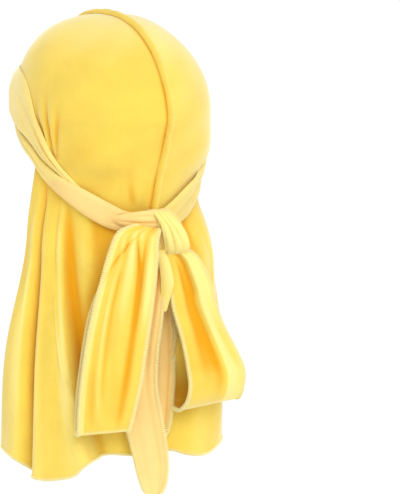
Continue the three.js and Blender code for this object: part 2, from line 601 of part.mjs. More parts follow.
const durag = new THREE.Group();
durag.name = 'durag';
const add = (name, geometry, color) => {
  const mesh = new THREE.Mesh(geometry.translate(0, 0, seamCrest), velvet(color, 0.75));
  mesh.name = name;
  durag.add(mesh);
};
add('crown_left_panel', crownPanel(1), yellow);
add('crown_right_panel', crownPanel(-1), light);
add('centre_seam', centreSeam(), yellow);
add('left_strap_wrap', strapWrap(1), light);
add('right_strap_wrap', strapWrap(-1), light);
add('cape', cape(), yellow);
add('knot', knot(), light);
add('left_bow_loop', bowPiece(LEFT_LOOP), yellow);
add('right_bow_loop', bowPiece(RIGHT_LOOP), yellow);
add('front_tail', bowPiece(FRONT_TAIL), reverse);
add('rear_tail', bowPiece(REAR_TAIL), reverse);

export default durag;
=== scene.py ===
"""Dresses a stretch velvet durag, tied as it is worn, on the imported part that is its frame.

Metres, +Z up. The wearer faces -Y, and the wearer's left is +X. A bearing is an angle round the head in
degrees, 0 at the forehead, 90 at the left ear and 180 at the nape. A drop is a depth below the seam's crest.
Every piece is cloth, so its mesh comes from a grid of points that runs along and across the cloth.
"""
import math

import bpy
import numpy as np
from bpy.props import FloatProperty, FloatVectorProperty, PointerProperty
from mathutils import Matrix


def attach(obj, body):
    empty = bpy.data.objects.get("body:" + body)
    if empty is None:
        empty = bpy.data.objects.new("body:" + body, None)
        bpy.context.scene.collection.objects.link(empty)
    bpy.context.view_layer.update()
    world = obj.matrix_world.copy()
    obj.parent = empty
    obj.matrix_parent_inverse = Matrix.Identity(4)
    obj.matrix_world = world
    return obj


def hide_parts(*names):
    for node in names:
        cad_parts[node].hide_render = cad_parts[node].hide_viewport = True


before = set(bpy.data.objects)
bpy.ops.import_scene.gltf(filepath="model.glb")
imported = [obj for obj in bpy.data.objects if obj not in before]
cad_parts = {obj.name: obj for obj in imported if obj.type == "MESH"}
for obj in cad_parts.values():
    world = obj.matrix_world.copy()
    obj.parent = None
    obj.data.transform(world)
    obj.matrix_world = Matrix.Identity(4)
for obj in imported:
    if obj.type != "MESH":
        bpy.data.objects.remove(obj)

bl_info = {
    "name": "Velvet durag",
    "version": (1, 0, 0),
    "blender": (4, 5, 0),
    "location": "3D View > Sidebar > Durag",
    "description": "Makes a stretch velvet durag, tied in a bow at the nape",
    "category": "Object",
}


# Sizes and colours

def length(name, description, default):
    return FloatProperty(name=name, description=description, default=default, min=0.0, unit="LENGTH",
                         precision=5)


def colour(name, description, default):
    return FloatVectorProperty(name=name, description=description, default=default, size=3, min=0, max=1,
                               subtype="COLOR")


class DuragSizes(bpy.types.PropertyGroup):
    head_half_width: length("Head half width", "Half the head's width under the crown", 0.077)
    head_half_length: length("Head half length", "Half the head's length under the crown", 0.096)
    crown_rise: length("Crown rise", "Depth from the crown's top to the head's widest section", 0.085)
    nape_drop: length("Nape drop", "Depth from the crown's top to the tie line at the nape", 0.168)
    cloth: length("Cloth", "Thickness of the velvet", 0.0015)
    seat_room: length("Seat room", "Room between two layers of cloth that touch", 0.001)
    seam_width: length("Seam width", "Width of the raised seam at its foot", 0.0048)
    seam_height: length("Seam height", "How far the raised seam stands off the crown", 0.0032)
    strap_edge: length("Strap edge", "Thickness of the gathered strap at its edges", 0.0013)
    strap_puff: length("Strap puff", "How far a gathered strap swells in its middle", 0.0015)
    cape_reach: length("Cape reach", "How far the cape's widest fold stands from the head's axis", 0.1)
    cape_drop: length("Cape drop", "Depth of the cape's hem", 0.37)
    knot_drop: length("Knot drop", "Depth of the knot's middle", 0.184)
    bow_drop: length("Bow drop", "How far the longer loop hangs below the knot", 0.17)
    bow_half_width: length("Bow half width", "Half the width of the strap where it opens flat", 0.027)
    bow_out: length("Bow out", "How far the bow stands out from its own plane", 0.03)
    bow_spread: length("Bow spread", "How far the bow spreads to each side", 0.05)
    bow_fold: length("Bow fold", "Depth of the pleats along the bow", 0.003)
    stitch_pitch: length("Stitch pitch", "Distance from one overlock stitch to the next", 0.0018)
    stitch_reach: length("Stitch reach", "How far an overlock stitch reaches in from the edge", 0.003)
    thread: length("Thread", "Thickness of the overlock thread", 0.0013)


class DuragColours(bpy.types.PropertyGroup):
    velvet: colour("Velvet", "Face of the velvet, looked at straight on", (0.92, 0.665, 0.098))
    # Painted sheen: a paler copy of the velvet for the straps and the knot, standing in for the light their
    # pile throws back.
    velvet_light: colour("Light velvet", "Velvet of the straps, brushed paler", (0.96, 0.74, 0.22))
    # Painted shade: the colour that the velvet is painted deep in a fold.
    velvet_fold: colour("Velvet in folds", "Face of the velvet deep in a fold", (0.83, 0.38, 0.006))
    # Painted highlight: the colour that the velvet is painted along a ridge.
    velvet_ridge: colour("Velvet on ridges", "Face of the velvet along a ridge", (1.0, 0.84, 0.27))
    bloom: colour("Bloom", "Light that the pile throws back at a slant", (1.0, 0.96, 0.72))
    reverse: colour("Reverse", "Knitted back of the velvet", (0.99, 0.7, 0.26))
    # Painted shade: the colour that the knitted back is painted deep in a fold.
    reverse_painted_shade: colour("Reverse in folds", "Knitted back deep in a fold", (0.97, 0.56, 0.13))
    thread: colour("Thread", "Overlock thread", (1.0, 0.86, 0.38))
    floor: colour("Floor", "Plain floor and surround", (1.0, 1.0, 1.0))


def sizes():
    return bpy.context.scene.durag_sizes


def colours():
    return bpy.context.scene.durag_colours


# Tables and the forms that they give

def table(columns, *rows):
    """A table with named columns, each an array."""
    return dict(zip(columns.split(), np.array(rows, float).T))


def bend(share, span, ends, slopes):
    """A smooth curve between two ends, from its slope at each of them."""
    square, cube = share ** 2, share ** 3
    return ((2 * cube - 3 * square + 1) * ends[0] + (cube - 2 * square + share) * span * slopes[0]
            + (3 * square - 2 * cube) * ends[1] + (cube - square) * span * slopes[1])


def read(rows, column, at, to):
    """Reads a table by a smooth curve through its rows, from one column to another."""
    x, y = rows[column], rows[to]
    last = len(x) - 1
    at = np.clip(at, x[0], x[-1])
    k = np.clip(np.searchsorted(x, at, side="right") - 1, 0, last - 1)
    low, high = np.maximum(np.arange(last + 1) - 1, 0), np.minimum(np.arange(last + 1) + 1, last)
    slope = (y[high] - y[low]) / (x[high] - x[low])
    span = x[k + 1] - x[k]
    return bend((at - x[k]) / span, span, (y[k], y[k + 1]), (slope[k], slope[k + 1]))


def smooth(at, low, high):
    """A soft step, 0 at low and 1 at high."""
    t = np.clip((at - low) / (high - low), 0, 1)
    return t * t * (3 - 2 * t)


def mix(a, b, share):
    return a + (b - a) * share


def unit(v):
    return v / np.maximum(np.linalg.norm(v, axis=-1, keepdims=True), 1e-12)


def run_of(line):
    """How far along a line of points each of them lies."""
    return np.concatenate([[0], np.cumsum(np.linalg.norm(np.diff(line, axis=0), axis=1))])


def waves(at, *listed):
    """A sum of waves, each with its height, its rate and its start."""
    return sum(height * np.sin(at * rate + start) for height, rate, start in listed)


def ripple(along, across, height, *rates):
    """Crossed waves over a cloth, each with its rates along and across."""
    for ahead, aside in rates:
        height = height * np.sin(along * ahead + across * aside)
    return height


# The head below its widest section. A drop is a share of the nape's drop, width and back are shares of the
# widest section's, and corner is how square the back is.
HEAD = table(
    "drop width back corner",
    (0.506, 1.0, 1.0, 0.0), (0.57, 0.985, 0.955, 0.025), (0.667, 0.965, 0.895, 0.055),
    (0.74, 0.948, 0.845, 0.045), (0.804, 0.93, 0.8, 0.005), (0.923, 0.89, 0.725, 0.0),
    (1.0, 0.865, 0.683, 0.0), (1.08, 0.85, 0.652, 0.0), (1.19, 0.84, 0.63, 0.0),
)
SEAM_SEAT = 0.0008
# How full the crown's curve is over the brow and at the back, where a circle's is 2, and between which shares
# backwards it changes.
BROW_FULLNESS = 2.5
BACK_FULLNESS = 2.0
FULLNESS_TURNS = (-0.5, 0.5)
# Small steps round the head, in degrees, and down it, that give its own normal.
ROUND_STEP = 0.4
DOWN_STEP = 0.0004


def seam_crest():
    s = sizes()
    return s.cloth + SEAM_SEAT + s.seam_height


def dome_rise():
    return sizes().crown_rise - seam_crest()


def head_point(bearing, drop):
    """A point on the head, a dome above its widest section and read from the table below it."""
    s = sizes()
    angle = np.radians(bearing)
    dome = drop < s.crown_rise
    backward = -np.cos(angle)
    share = HEAD["drop"][0] + (drop - s.crown_rise) / s.nape_drop
    fullness = mix(BROW_FULLNESS, BACK_FULLNESS, smooth(backward, *FULLNESS_TURNS))
    level = np.clip((s.crown_rise - drop) / dome_rise(), 0, 1)
    width = np.where(dome, (1 - level ** fullness) ** (1 / fullness), read(HEAD, "drop", share, "width"))
    back = np.where(dome | (backward < 0), width, read(HEAD, "drop", share, "back"))
    corner = np.where(dome | (backward < 0), 0, read(HEAD, "drop", share, "corner"))
    swell = 1 + corner * np.sin(2 * angle) ** 2
    x = swell * s.head_half_width * width * np.sin(angle)
    y = swell * s.head_half_length * back * backward
    return np.stack([x, y, -drop + 0 * angle], -1)


def on_head(bearing, drop, out):
    """Points that lie out metres off the head, along the head's own normal."""
    bearing, drop, out = np.broadcast_arrays(bearing, drop, out)
    crest = seam_crest()
    tip = crest + DOWN_STEP
    below = np.maximum(drop, tip)
    round_it = head_point(bearing + ROUND_STEP, below) - head_point(bearing - ROUND_STEP, below)
    down = head_point(bearing, below + DOWN_STEP) - head_point(bearing, below - DOWN_STEP)
    away = np.clip((drop - crest) / (tip - crest), 0, 1) ** 0.5
    normal = unit(mix(np.array([0.0, 0.0, 1.0]), unit(np.cross(down, round_it)), away[..., None]))
    return head_point(bearing, drop) + normal * out[..., None]


def arc_drop(arc):
    """The drop that an arc from the crown's top reaches, the arc in degrees of the crown's own curve."""
    curve = np.where(arc < 90, 1 - np.cos(np.radians(arc)), 1 + np.radians(arc - 90))
    return seam_crest() + dome_rise() * curve


def drop_arc(drop):
    """The arc that reaches a drop."""
    rise = sizes().crown_rise
    return np.where(drop < rise, np.degrees(np.arccos(np.clip((rise - drop) / dome_rise(), -1, 1))),
                    90 + np.degrees((drop - rise) / dome_rise()))


# The top and foot of a strap where it takes the upper way past an ear, and where it takes the lower way. They
# are shares of the nape's drop, for the wearer's left and right.
UPPER_PASS = table(
    "bearing left_top left_foot right_top right_foot",
    (0, 0.3, 0.535, 0.3, 0.535), (36, 0.3, 0.54, 0.3, 0.54), (60, 0.305, 0.555, 0.305, 0.55),
    (75, 0.33, 0.595, 0.34, 0.585), (86, 0.405, 0.655, 0.45, 0.66), (95, 0.55, 0.71, 0.6, 0.72),
    (105, 0.675, 0.752, 0.7, 0.77), (116, 0.77, 0.818, 0.75, 0.825), (130, 0.87, 0.945, 0.785, 0.87),
    (146, 0.93, 1.01, 0.82, 0.915), (160, 0.975, 1.05, 0.87, 0.99), (180, 0.985, 1.07, 0.985, 1.07),
)
LOWER_PASS = table(
    "bearing left_top left_foot right_top right_foot",
    (0, 0.32, 0.55, 0.32, 0.55), (36, 0.325, 0.56, 0.325, 0.56), (56, 0.39, 0.6, 0.39, 0.6),
    (66, 0.52, 0.645, 0.52, 0.64), (76, 0.62, 0.695, 0.61, 0.69), (86, 0.672, 0.742, 0.675, 0.75),
    (95, 0.73, 0.815, 0.735, 0.815), (106, 0.772, 0.878, 0.79, 0.875), (116, 0.806, 0.92, 0.845, 0.925),
    (128, 0.845, 0.98, 0.885, 0.97), (146, 0.915, 1.052, 0.935, 1.045), (160, 0.965, 1.08, 0.975, 1.08),
    (180, 0.985, 1.085, 0.985, 1.085),
)
# A strap changes its way where the sine of the bearing is within this of 0.
CROSSING = 0.64
# The crown's edge is tucked up under the straps, and over the brow it shows below them as a brim.
TUCK = 0.007
BRIM = 0.005
BROW_ENDS = (44, 70)
# Room between the crown's edge and the cape's.
EDGE_GAP = 0.002


def turned(bearing):
    """A bearing between -180 and 180, less than 0 on the wearer's right."""
    return (bearing + 180) % 360 - 180


def pass_edges(rows, bearing):
    around = turned(bearing)
    at = np.abs(around)
    nape = sizes().nape_drop
    return [nape * np.where(around < 0, read(rows, "bearing", at, "right_" + edge),
                            read(rows, "bearing", at, "left_" + edge)) for edge in ("top", "foot")]


def strap_edges(bearing, side):
    """The drops of a strap's top and foot. Each strap takes the upper way on its own side of the head."""
    upper, lower = pass_edges(UPPER_PASS, bearing), pass_edges(LOWER_PASS, bearing)
    share = smooth(side * np.sin(np.radians(bearing)), -CROSSING, CROSSING)
    return mix(lower[0], upper[0], share), mix(lower[1], upper[1], share)


def crown_edge(bearing):
    """The drop of the crown's edge."""
    return pass_edges(LOWER_PASS, bearing)[1] + mix(BRIM, -TUCK, smooth(np.abs(turned(bearing)), *BROW_ENDS))


def fold(rows, along, across):
    """The relief of one fold. Its rows say where its middle is across the cloth, how wide and how high."""
    middle = read(rows, "along", along, "across")
    width = read(rows, "along", along, "width")
    height = read(rows, "along", along, "height")
    inside = (along >= rows["along"][0]) & (along <= rows["along"][-1])
    return np.where(inside, height * np.exp(-((across - middle) / width) ** 2), 0.0)


def folds(listed, along, across):
    return sum((fold(rows, along, across) for rows in listed), 0 * (along + across))


def crease(*rows):
    """One fold's table."""
    return table("along across width height", *rows)


# Cloth meshes

# A point's depth sets the painted highlight on ridges and the painted shade in folds.
# What a point's depth is on plain cloth, between 0 on a ridge and 1 deep in a fold.
PLAIN = 0.5
# The wider of the two reaches over which folds are told from the cloth's own form.
WIDE_REACH = 2.5
DOUBLES = 1e-6
THREAD_SIDES = 5
THREAD_TAPER = 0.45
# How far an overlock stitch stands off the faces at its ends, at its bow and at its turn, how far past the
# edge it turns and reaches, where its bow is, and how much it leans.
STITCH_END = 0.0001
STITCH_BOW = 0.0004
STITCH_TURN = 0.00025
STITCH_ROUND = 0.0002
STITCH_OUT = 0.0007
STITCH_BOWED = 0.45
STITCH_LEAN = 0.8


def normals_of(grid):
    """The normal at each point of a grid, from its neighbours along and across."""
    return unit(np.cross(np.gradient(grid, axis=0), np.gradient(grid, axis=1)))


def raised(grid, relief):
    return grid + normals_of(grid) * relief[..., None]


def spread(grid, reach, axis):
    """The mean of the rows or columns within reach of each one."""
    pad = [(0, 0)] * grid.ndim
    pad[axis] = (reach + 1, reach)
    total = np.cumsum(np.pad(grid, pad, mode="edge"), axis=axis)
    size = grid.shape[axis]
    return (np.take(total, range(2 * reach + 1, 2 * reach + 1 + size), axis)
            - np.take(total, range(size), axis)) / (2 * reach + 1)


def depth_of(grid, out, reach=0.006, full=0.0012):
    """How deep each point of a grid lies in a fold: 0 on a ridge, 0.5 on plain cloth and 1 in a valley."""
    depth = np.zeros(grid.shape[:2])
    for wider in (1, WIDE_REACH):
        level = grid
        for axis in (0, 1):
            step = np.linalg.norm(np.diff(grid, axis=axis), axis=2).mean()
            count = int(np.clip(reach * wider / max(step, 1e-6), 1, grid.shape[axis] // 3))
            level = spread(spread(level, count, axis), count, axis)
        depth += ((level - grid) * out).sum(-1) / (2 * full * wider)
    return np.clip(PLAIN + 0.5 * depth, 0, 1)


def mesh_of(name, points, faces, materials):
    """A smooth mesh from points below the seam's crest."""
    mesh = bpy.data.meshes.new(name)
    mesh.from_pydata((points + [0, 0, seam_crest()]).tolist(), [], faces)
    mesh.polygons.foreach_set("use_smooth", np.ones(len(faces), bool))
    for material in materials:
        mesh.materials.append(material)
    return mesh


def object_of(name, mesh, merge):
    """An object of a mesh, its doubles merged where asked and its faces turned outwards."""
    made = bpy.data.objects.new(name, mesh)
    bpy.context.scene.collection.objects.link(made)
    bpy.ops.object.select_all(action="DESELECT")
    made.select_set(True)
    bpy.context.view_layer.objects.active = made
    bpy.ops.object.mode_set(mode="EDIT")
    bpy.ops.mesh.select_all(action="SELECT")
    if merge:
        bpy.ops.mesh.remove_doubles(threshold=DOUBLES)
    bpy.ops.mesh.normals_make_consistent(inside=False)
    bpy.ops.mesh.select_all(action="DESELECT")
    bpy.ops.object.mode_set(mode="OBJECT")
    made.select_set(False)
    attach(made, "root")
    return made


def piece(name, points, faces, layer, uv, materials, depth):
    """A piece of cloth from arrays. Layer says which material each face takes, and uv lies on the cloth."""
    mesh = mesh_of(name, points, faces.tolist(), materials)
    mesh.polygons.foreach_set("material_index", np.asarray(layer, np.int32))
    chart = mesh.uv_layers.new(name="cloth")
    corner = np.empty(len(mesh.loops), np.int32)
    mesh.loops.foreach_get("vertex_index", corner)
    chart.data.foreach_set("uv", uv[corner].astype(np.float32).ravel())
    # The depth attribute carries each point's painted shade and painted highlight to the finishes.
    told = mesh.attributes.new("depth", "FLOAT", "POINT")
    told.data.foreach_set("value", depth.astype(np.float32).ravel())
    return object_of(name, mesh, merge=True)


def cloth_piece(name, inner, outer, materials, depth, ring=False, show_inner=None):
    """A closed cloth from two grids of points that face each other. The outer layer takes the first material,
    the inner one the second, or what show_inner says of each face of the outer layer."""
    rows, columns = inner.shape[:2]
    points = np.concatenate([outer.reshape(-1, 3), inner.reshape(-1, 3)])
    count = rows * columns
    at = np.arange(count).reshape(rows, columns)
    down = np.roll(at, -1, 0) if ring else at[1:]
    here = at if ring else at[:-1]
    a, b, c, d = here[:, :-1].ravel(), down[:, :-1].ravel(), down[:, 1:].ravel(), here[:, 1:].ravel()
    front = np.stack([a, b, c, d], 1)
    back = np.stack([d, c, b, a], 1) + count
    rims = [(here[:, 0], down[:, 0], False), (here[:, -1], down[:, -1], True)]
    if not ring:
        rims += [(at[0, :-1], at[0, 1:], True), (at[-1, :-1], at[-1, 1:], False)]
    sides = []
    for start, end, turn in rims:
        quad = np.stack([start, start + count, end + count, end], 1)
        sides.append(quad[:, ::-1] if turn else quad)
    sides = np.concatenate(sides)
    shown = np.zeros(len(front), int) if show_inner is None else show_inner.ravel().astype(int)
    layer = np.concatenate([shown, np.full(len(back), min(1, len(materials) - 1)), np.zeros(len(sides), int)])
    middle = (inner + outer) / 2
    along = np.concatenate([[0], np.cumsum(np.linalg.norm(np.diff(middle, axis=0), axis=2).mean(1))])
    steps = np.linalg.norm(np.diff(middle, axis=1), axis=2)
    across = np.concatenate([np.zeros((rows, 1)), np.cumsum(steps, 1)], 1)
    chart = np.stack([across, along[:, None] + 0 * across], -1).reshape(-1, 2)
    # The inner layer takes the opposite depth, and so the opposite painted shade.
    return piece(name, points, np.concatenate([front, back, sides]), layer, np.concatenate([chart, chart]),
                 materials, np.concatenate([depth.ravel(), 1 - depth.ravel()]))


def sheet_piece(name, middle, thickness, materials, depth):
    """A closed cloth of even thickness about a grid of points."""
    half = normals_of(middle) * thickness / 2
    return cloth_piece(name, middle - half, middle + half, materials, depth)


def stitches(name, edge, inward, normal, thickness, reach=1.0):
    """Overlock thread along an edge: one bowed stitch after another, round the edge from face to face."""
    s = sizes()
    run = run_of(edge)
    count = max(2, int(run[-1] / s.stitch_pitch))
    at = (np.arange(count) + 0.5) * run[-1] / count
    centre, inner, up = (np.stack([np.interp(at, run, given[:, k]) for k in range(3)], 1)
                         for given in (edge, inward, normal))
    inner, up = unit(inner), unit(up)
    ahead = unit(np.cross(up, inner))
    half = thickness / 2
    far = s.stitch_reach * reach
    upper = [(far, half + STITCH_END), (far * STITCH_BOWED, half + STITCH_BOW),
             (-STITCH_ROUND, half + STITCH_TURN)]
    bow = upper + [(-STITCH_OUT, 0.0)] + [(back, -rise) for back, rise in reversed(upper)]
    lean = s.stitch_pitch * STITCH_LEAN
    line = np.stack([centre + inner * back + up * rise + ahead * lean * (k / (len(bow) - 1) - 0.5)
                     for k, (back, rise) in enumerate(bow)], 1)
    return thread_piece(name, line, s.thread / 2)


def thread_piece(name, lines, radius):
    """Short threads, one for each row of lines, joined in one mesh."""
    count, steps = lines.shape[:2]
    along = unit(np.gradient(lines, axis=1))
    guide = np.where(np.abs(along[..., 2:]) > 0.9, np.array([1.0, 0, 0]), np.array([0, 0, 1.0]))
    first = unit(np.cross(along, guide))
    for k in range(1, steps):
        turn = first[:, k - 1] - along[:, k] * (first[:, k - 1] * along[:, k]).sum(1, keepdims=True)
        first[:, k] = unit(turn)
    second = np.cross(along, first)
    angle = 2 * np.pi * np.arange(THREAD_SIDES)[:, None] / THREAD_SIDES
    taper = np.ones(steps)
    taper[[0, -1]] = THREAD_TAPER
    ring = first[:, :, None] * np.cos(angle) + second[:, :, None] * np.sin(angle)
    points = lines[:, :, None] + ring * (radius * taper)[None, :, None, None]
    at = np.arange(count * steps * THREAD_SIDES).reshape(count, steps, THREAD_SIDES)
    a, b = at[:, :-1], at[:, 1:]
    quads = np.stack([a, np.roll(a, -1, 2), np.roll(b, -1, 2), b], -1).reshape(-1, 4)
    ends = at[:, 0, ::-1].tolist() + at[:, -1].tolist()
    mesh = mesh_of(name, points.reshape(-1, 3), quads.tolist() + ends, [finish_named("overlock_thread")])
    made = object_of(name, mesh, merge=False)
    return made


# Finishes

class Value:
    """A number that changes over the surface. Sums and products of it add the nodes that work them out."""

    def __init__(self, finish, socket):
        self.finish, self.socket = finish, socket

    def __add__(self, other):
        return self.finish.math("ADD", self, other)

    def __mul__(self, other):
        return self.finish.math("MULTIPLY", self, other)

    __radd__ = __add__
    __rmul__ = __mul__


class Finish:
    """One material and its nodes."""

    def __init__(self, name, shown):
        self.material = bpy.data.materials.new(name)
        self.material.use_nodes = True
        self.material.diffuse_color = (*shown, 1)
        self.tree = self.material.node_tree
        self.tree.nodes.clear()

    def node(self, kind, settings=None, **inputs):
        """A node with its settings, and its inputs by name, or by number where several share a name."""
        made = self.tree.nodes.new(kind)
        for key, value in (settings or {}).items():
            setattr(made, key, value)
        for key, value in inputs.items():
            name = key.replace("_", " ")
            socket = made.inputs[int(key[1:])] if key[0] == "i" and key[1:].isdigit() else made.inputs[name]
            self.feed(socket, value)
        return made

    def feed(self, socket, value):
        if isinstance(value, Value):
            self.tree.links.new(value.socket, socket)
        elif isinstance(value, bpy.types.NodeSocket):
            self.tree.links.new(value, socket)
        elif isinstance(value, bpy.types.Node):
            self.tree.links.new(value.outputs[0], socket)
        elif hasattr(value, "__len__"):
            wide = len(socket.default_value)
            socket.default_value = (*value, 1)[:wide] if len(value) < wide else tuple(value)[:wide]
        else:
            socket.default_value = value

    def math(self, operation, a, b):
        return Value(self, self.node("ShaderNodeMath", {"operation": operation}, i0=a, i1=b).outputs[0])

    def span(self, value, low, high, to_low=0.0, to_high=1.0):
        """A value taken softly from one range to another."""
        made = self.node("ShaderNodeMapRange", {"interpolation_type": "SMOOTHSTEP"}, Value=value,
                         i1=low, i2=high, i3=to_low, i4=to_high)
        return Value(self, made.outputs[0])

    def blend(self, factor, first, second):
        made = self.node("ShaderNodeMix", {"data_type": "RGBA"}, i0=factor, i6=first, i7=second)
        return made.outputs[2]

    def noise(self, where, scale, detail=3.0, roughness=0.55):
        made = self.node("ShaderNodeTexNoise", Vector=where, Scale=scale, Detail=detail, Roughness=roughness)
        return Value(self, made.outputs[0])

    # The painted shade and highlight that a piece carries in its depth attribute.
    def depth(self):
        return Value(self, self.node("ShaderNodeAttribute", {"attribute_name": "depth"}).outputs["Fac"])

    def shaded(self, first, second):
        settings = {"data_type": "RGBA", "blend_type": "MULTIPLY"}
        return self.node("ShaderNodeMix", settings, i0=1.0, i6=first, i7=second).outputs[2]

    def done(self, **inputs):
        """Sets the surface's own inputs and gives the material."""
        self.node("ShaderNodeOutputMaterial", Surface=self.node("ShaderNodeBsdfPrincipled", **inputs))
        return self.material


def scaled(shown, share):
    return tuple(min(1.0, part * share) for part in shown)


def velvet(name, shown):
    """Short stretch pile, brushed in soft patches, with a painted highlight on the ridges and painted shade
    in the folds.
    """
    c = colours()
    f = Finish(name, shown)
    where = f.node("ShaderNodeTexCoord").outputs["Object"]
    patches = f.noise(where, scale=30.0, detail=3.0, roughness=0.6)
    pile = f.noise(where, scale=1500.0, detail=2.0, roughness=0.7)
    depth = f.depth()
    face = f.blend(f.span(patches, 0.34, 0.68), scaled(shown, 0.965), scaled(shown, 1.035))
    # Painted shade in the folds and painted highlight on the ridges, from the depth attribute.
    deep = f.blend(f.span(depth, PLAIN, 1.0), face, c.velvet_fold)
    deep = f.blend(f.span(depth, PLAIN, 0.0), deep, c.velvet_ridge)
    base = f.shaded(deep, f.blend(f.span(pile, 0.3, 0.7), (0.9, 0.9, 0.9), (1, 1, 1)))
    bump = f.node("ShaderNodeBump", Strength=0.35, Distance=0.0003, Height=pile + patches * 0.6)
    return f.done(Base_Color=base, Roughness=f.span(patches, 0.3, 0.7, 0.72, 0.86), Normal=bump.outputs[0],
                  Sheen_Weight=1.0, Sheen_Roughness=0.42, Sheen_Tint=tuple(c.bloom), Specular_IOR_Level=0.1)


def knit(name, shown):
    """The velvet's back: fine wales with short courses across them, matt and paler than the pile, with
    painted shade in its folds.
    """
    f = Finish(name, shown)
    cloth = f.node("ShaderNodeUVMap", {"uv_map": "cloth"}).outputs[0]
    where = f.node("ShaderNodeTexCoord").outputs["Object"]
    wales, courses = (f.node("ShaderNodeTexWave", {"wave_type": "BANDS", "bands_direction": way,
                                                   "wave_profile": "SIN"},
                             Vector=cloth, Scale=scale, Distortion=distortion, Detail=1.0)
                      for way, scale, distortion in (("X", 280.0, 0.6), ("Y", 330.0, 0.8)))
    loops = Value(f, wales.outputs["Fac"]) * 0.6 + Value(f, courses.outputs["Fac"]) * 0.4
    patches = f.noise(where, scale=45.0, detail=2.0)
    depth = f.depth()
    face = f.blend(f.span(patches, 0.35, 0.65), scaled(shown, 0.97), scaled(shown, 1.03))
    # Painted shade in the folds, from the depth attribute.
    face = f.blend(f.span(depth, PLAIN, 1.0), face, colours().reverse_painted_shade)
    base = f.shaded(face, f.blend(loops, (0.93, 0.92, 0.9), (1, 1, 1)))
    bump = f.node("ShaderNodeBump", Strength=0.3, Distance=0.00015, Height=loops)
    return f.done(Base_Color=base, Roughness=f.span(loops, 0, 1, 0.8, 0.9), Normal=bump.outputs[0],
                  Sheen_Weight=0.08, Sheen_Roughness=0.5, Sheen_Tint=(1.0, 0.95, 0.8), Specular_IOR_Level=0.2)


def thread(name, shown):
    """Overlock thread, with a little fuzz."""
    f = Finish(name, shown)
    where = f.node("ShaderNodeTexCoord").outputs["Object"]
    fuzz = f.noise(where, scale=2600.0, detail=2.0)
    base = f.blend(f.span(fuzz, 0.3, 0.7), scaled(shown, 0.9), scaled(shown, 1.05))
    bump = f.node("ShaderNodeBump", Strength=0.3, Distance=0.0001, Height=fuzz)
    return f.done(Base_Color=base, Roughness=f.span(fuzz, 0.3, 0.7, 0.6, 0.75), Normal=bump.outputs[0],
                  Sheen_Weight=0.9, Sheen_Roughness=0.4, Sheen_Tint=tuple(colours().bloom),
                  Specular_IOR_Level=0.1)


FINISHES = {
    "velvet_pile": (velvet, "velvet"),
    "light_velvet_pile": (velvet, "velvet_light"),
    "knitted_back": (knit, "reverse"),
    "overlock_thread": (thread, "thread"),
}


def finish_named(name):
    """A finish, made when it is first asked for."""
    if name not in bpy.data.materials:
        make, shown = FINISHES[name]
        make(name, getattr(colours(), shown))
    return bpy.data.materials[name]


def two_faced(face="velvet_pile"):
    return [finish_named(face), finish_named("knitted_back")]


# The crown

# Folds on the crown: along is a drop and height is in millimetres, and across is a bearing in degrees.
LEFT_CROWN_FOLDS = [
    crease((66, 91.0, 2.0, 0), (84, 93.5, 1.8, -1.0), (100, 97.5, 1.6, -1.6), (112, 101, 1.5, -1.2),
           (122, 104, 1.4, -0.4)),
    crease((64, 95.5, 2.2, 0), (82, 97.5, 2.0, 0.8), (100, 100.5, 1.7, 1.1), (116, 104, 1.4, 0.5)),
    crease((62, 100.0, 2.0, 0), (80, 101.0, 1.8, -1.3), (98, 103, 1.5, -1.9), (112, 105.5, 1.4, -1.6),
           (120, 107.5, 1.3, -0.8)),
    crease((66, 105, 2.2, 0), (84, 105, 2.0, 0.8), (100, 106, 1.7, 1.1), (116, 108.5, 1.4, 0.5)),
    crease((70, 110.5, 2.2, 0), (88, 109.5, 1.9, -0.9), (104, 109, 1.6, -1.5), (120, 110, 1.5, -0.7)),
    crease((118, 158, 3.5, 0), (136, 160, 3.0, -0.5), (152, 163, 2.4, -0.9), (160, 165, 2.0, -0.4)),
    crease((128, 166, 3.0, 0), (146, 167, 2.6, 0.5), (158, 169, 2.2, 0.3)),
]
RIGHT_CROWN_FOLDS = [
    crease((84, 244, 4.0, 0), (104, 238, 3.4, 0.7), (122, 230, 2.8, 0.9), (136, 224, 2.4, 0.3)),
    crease((90, 252, 3.0, 0), (104, 248, 2.6, -0.9), (118, 243, 2.2, -0.6)),
]
PANEL_ROWS = 120
PANEL_COLUMNS = 110
PANEL_SPACING = 0.92
# A fold on the crown fades out between these drops, counted from the top edge of the strap over it.
FADE = (-0.001, 0.005)
# The panels stay this far from the middle, under the seam.
MIDDLE_GAP = 0.0002
# The slight unevenness of stretched cloth: its height, and the rates of its waves down the crown and round
# it. It sets in between these drops.
SLACK = (0.00025, (60, 0.11), (95, 0.05))
SLACK_FROM = (0.002, 0.03)
# Painted light on the pile: a painted highlight round the top and on the right panel, where the light falls,
# painted shade lower down and a painted shadow along the seam's left foot, and painted shade and highlight
# that follow the relief.
TOP_SHADE = -0.32
TOP_DROPS = (0.0, 0.05)
LOW_SHADE = 0.09
LOW_DROPS = (0.04, 0.12)
RIGHT_SHADE = -0.2
SEAM_SHADE = 0.6
SEAM_SHADE_REACH = 0.0026
FOLD_SHADE = 220


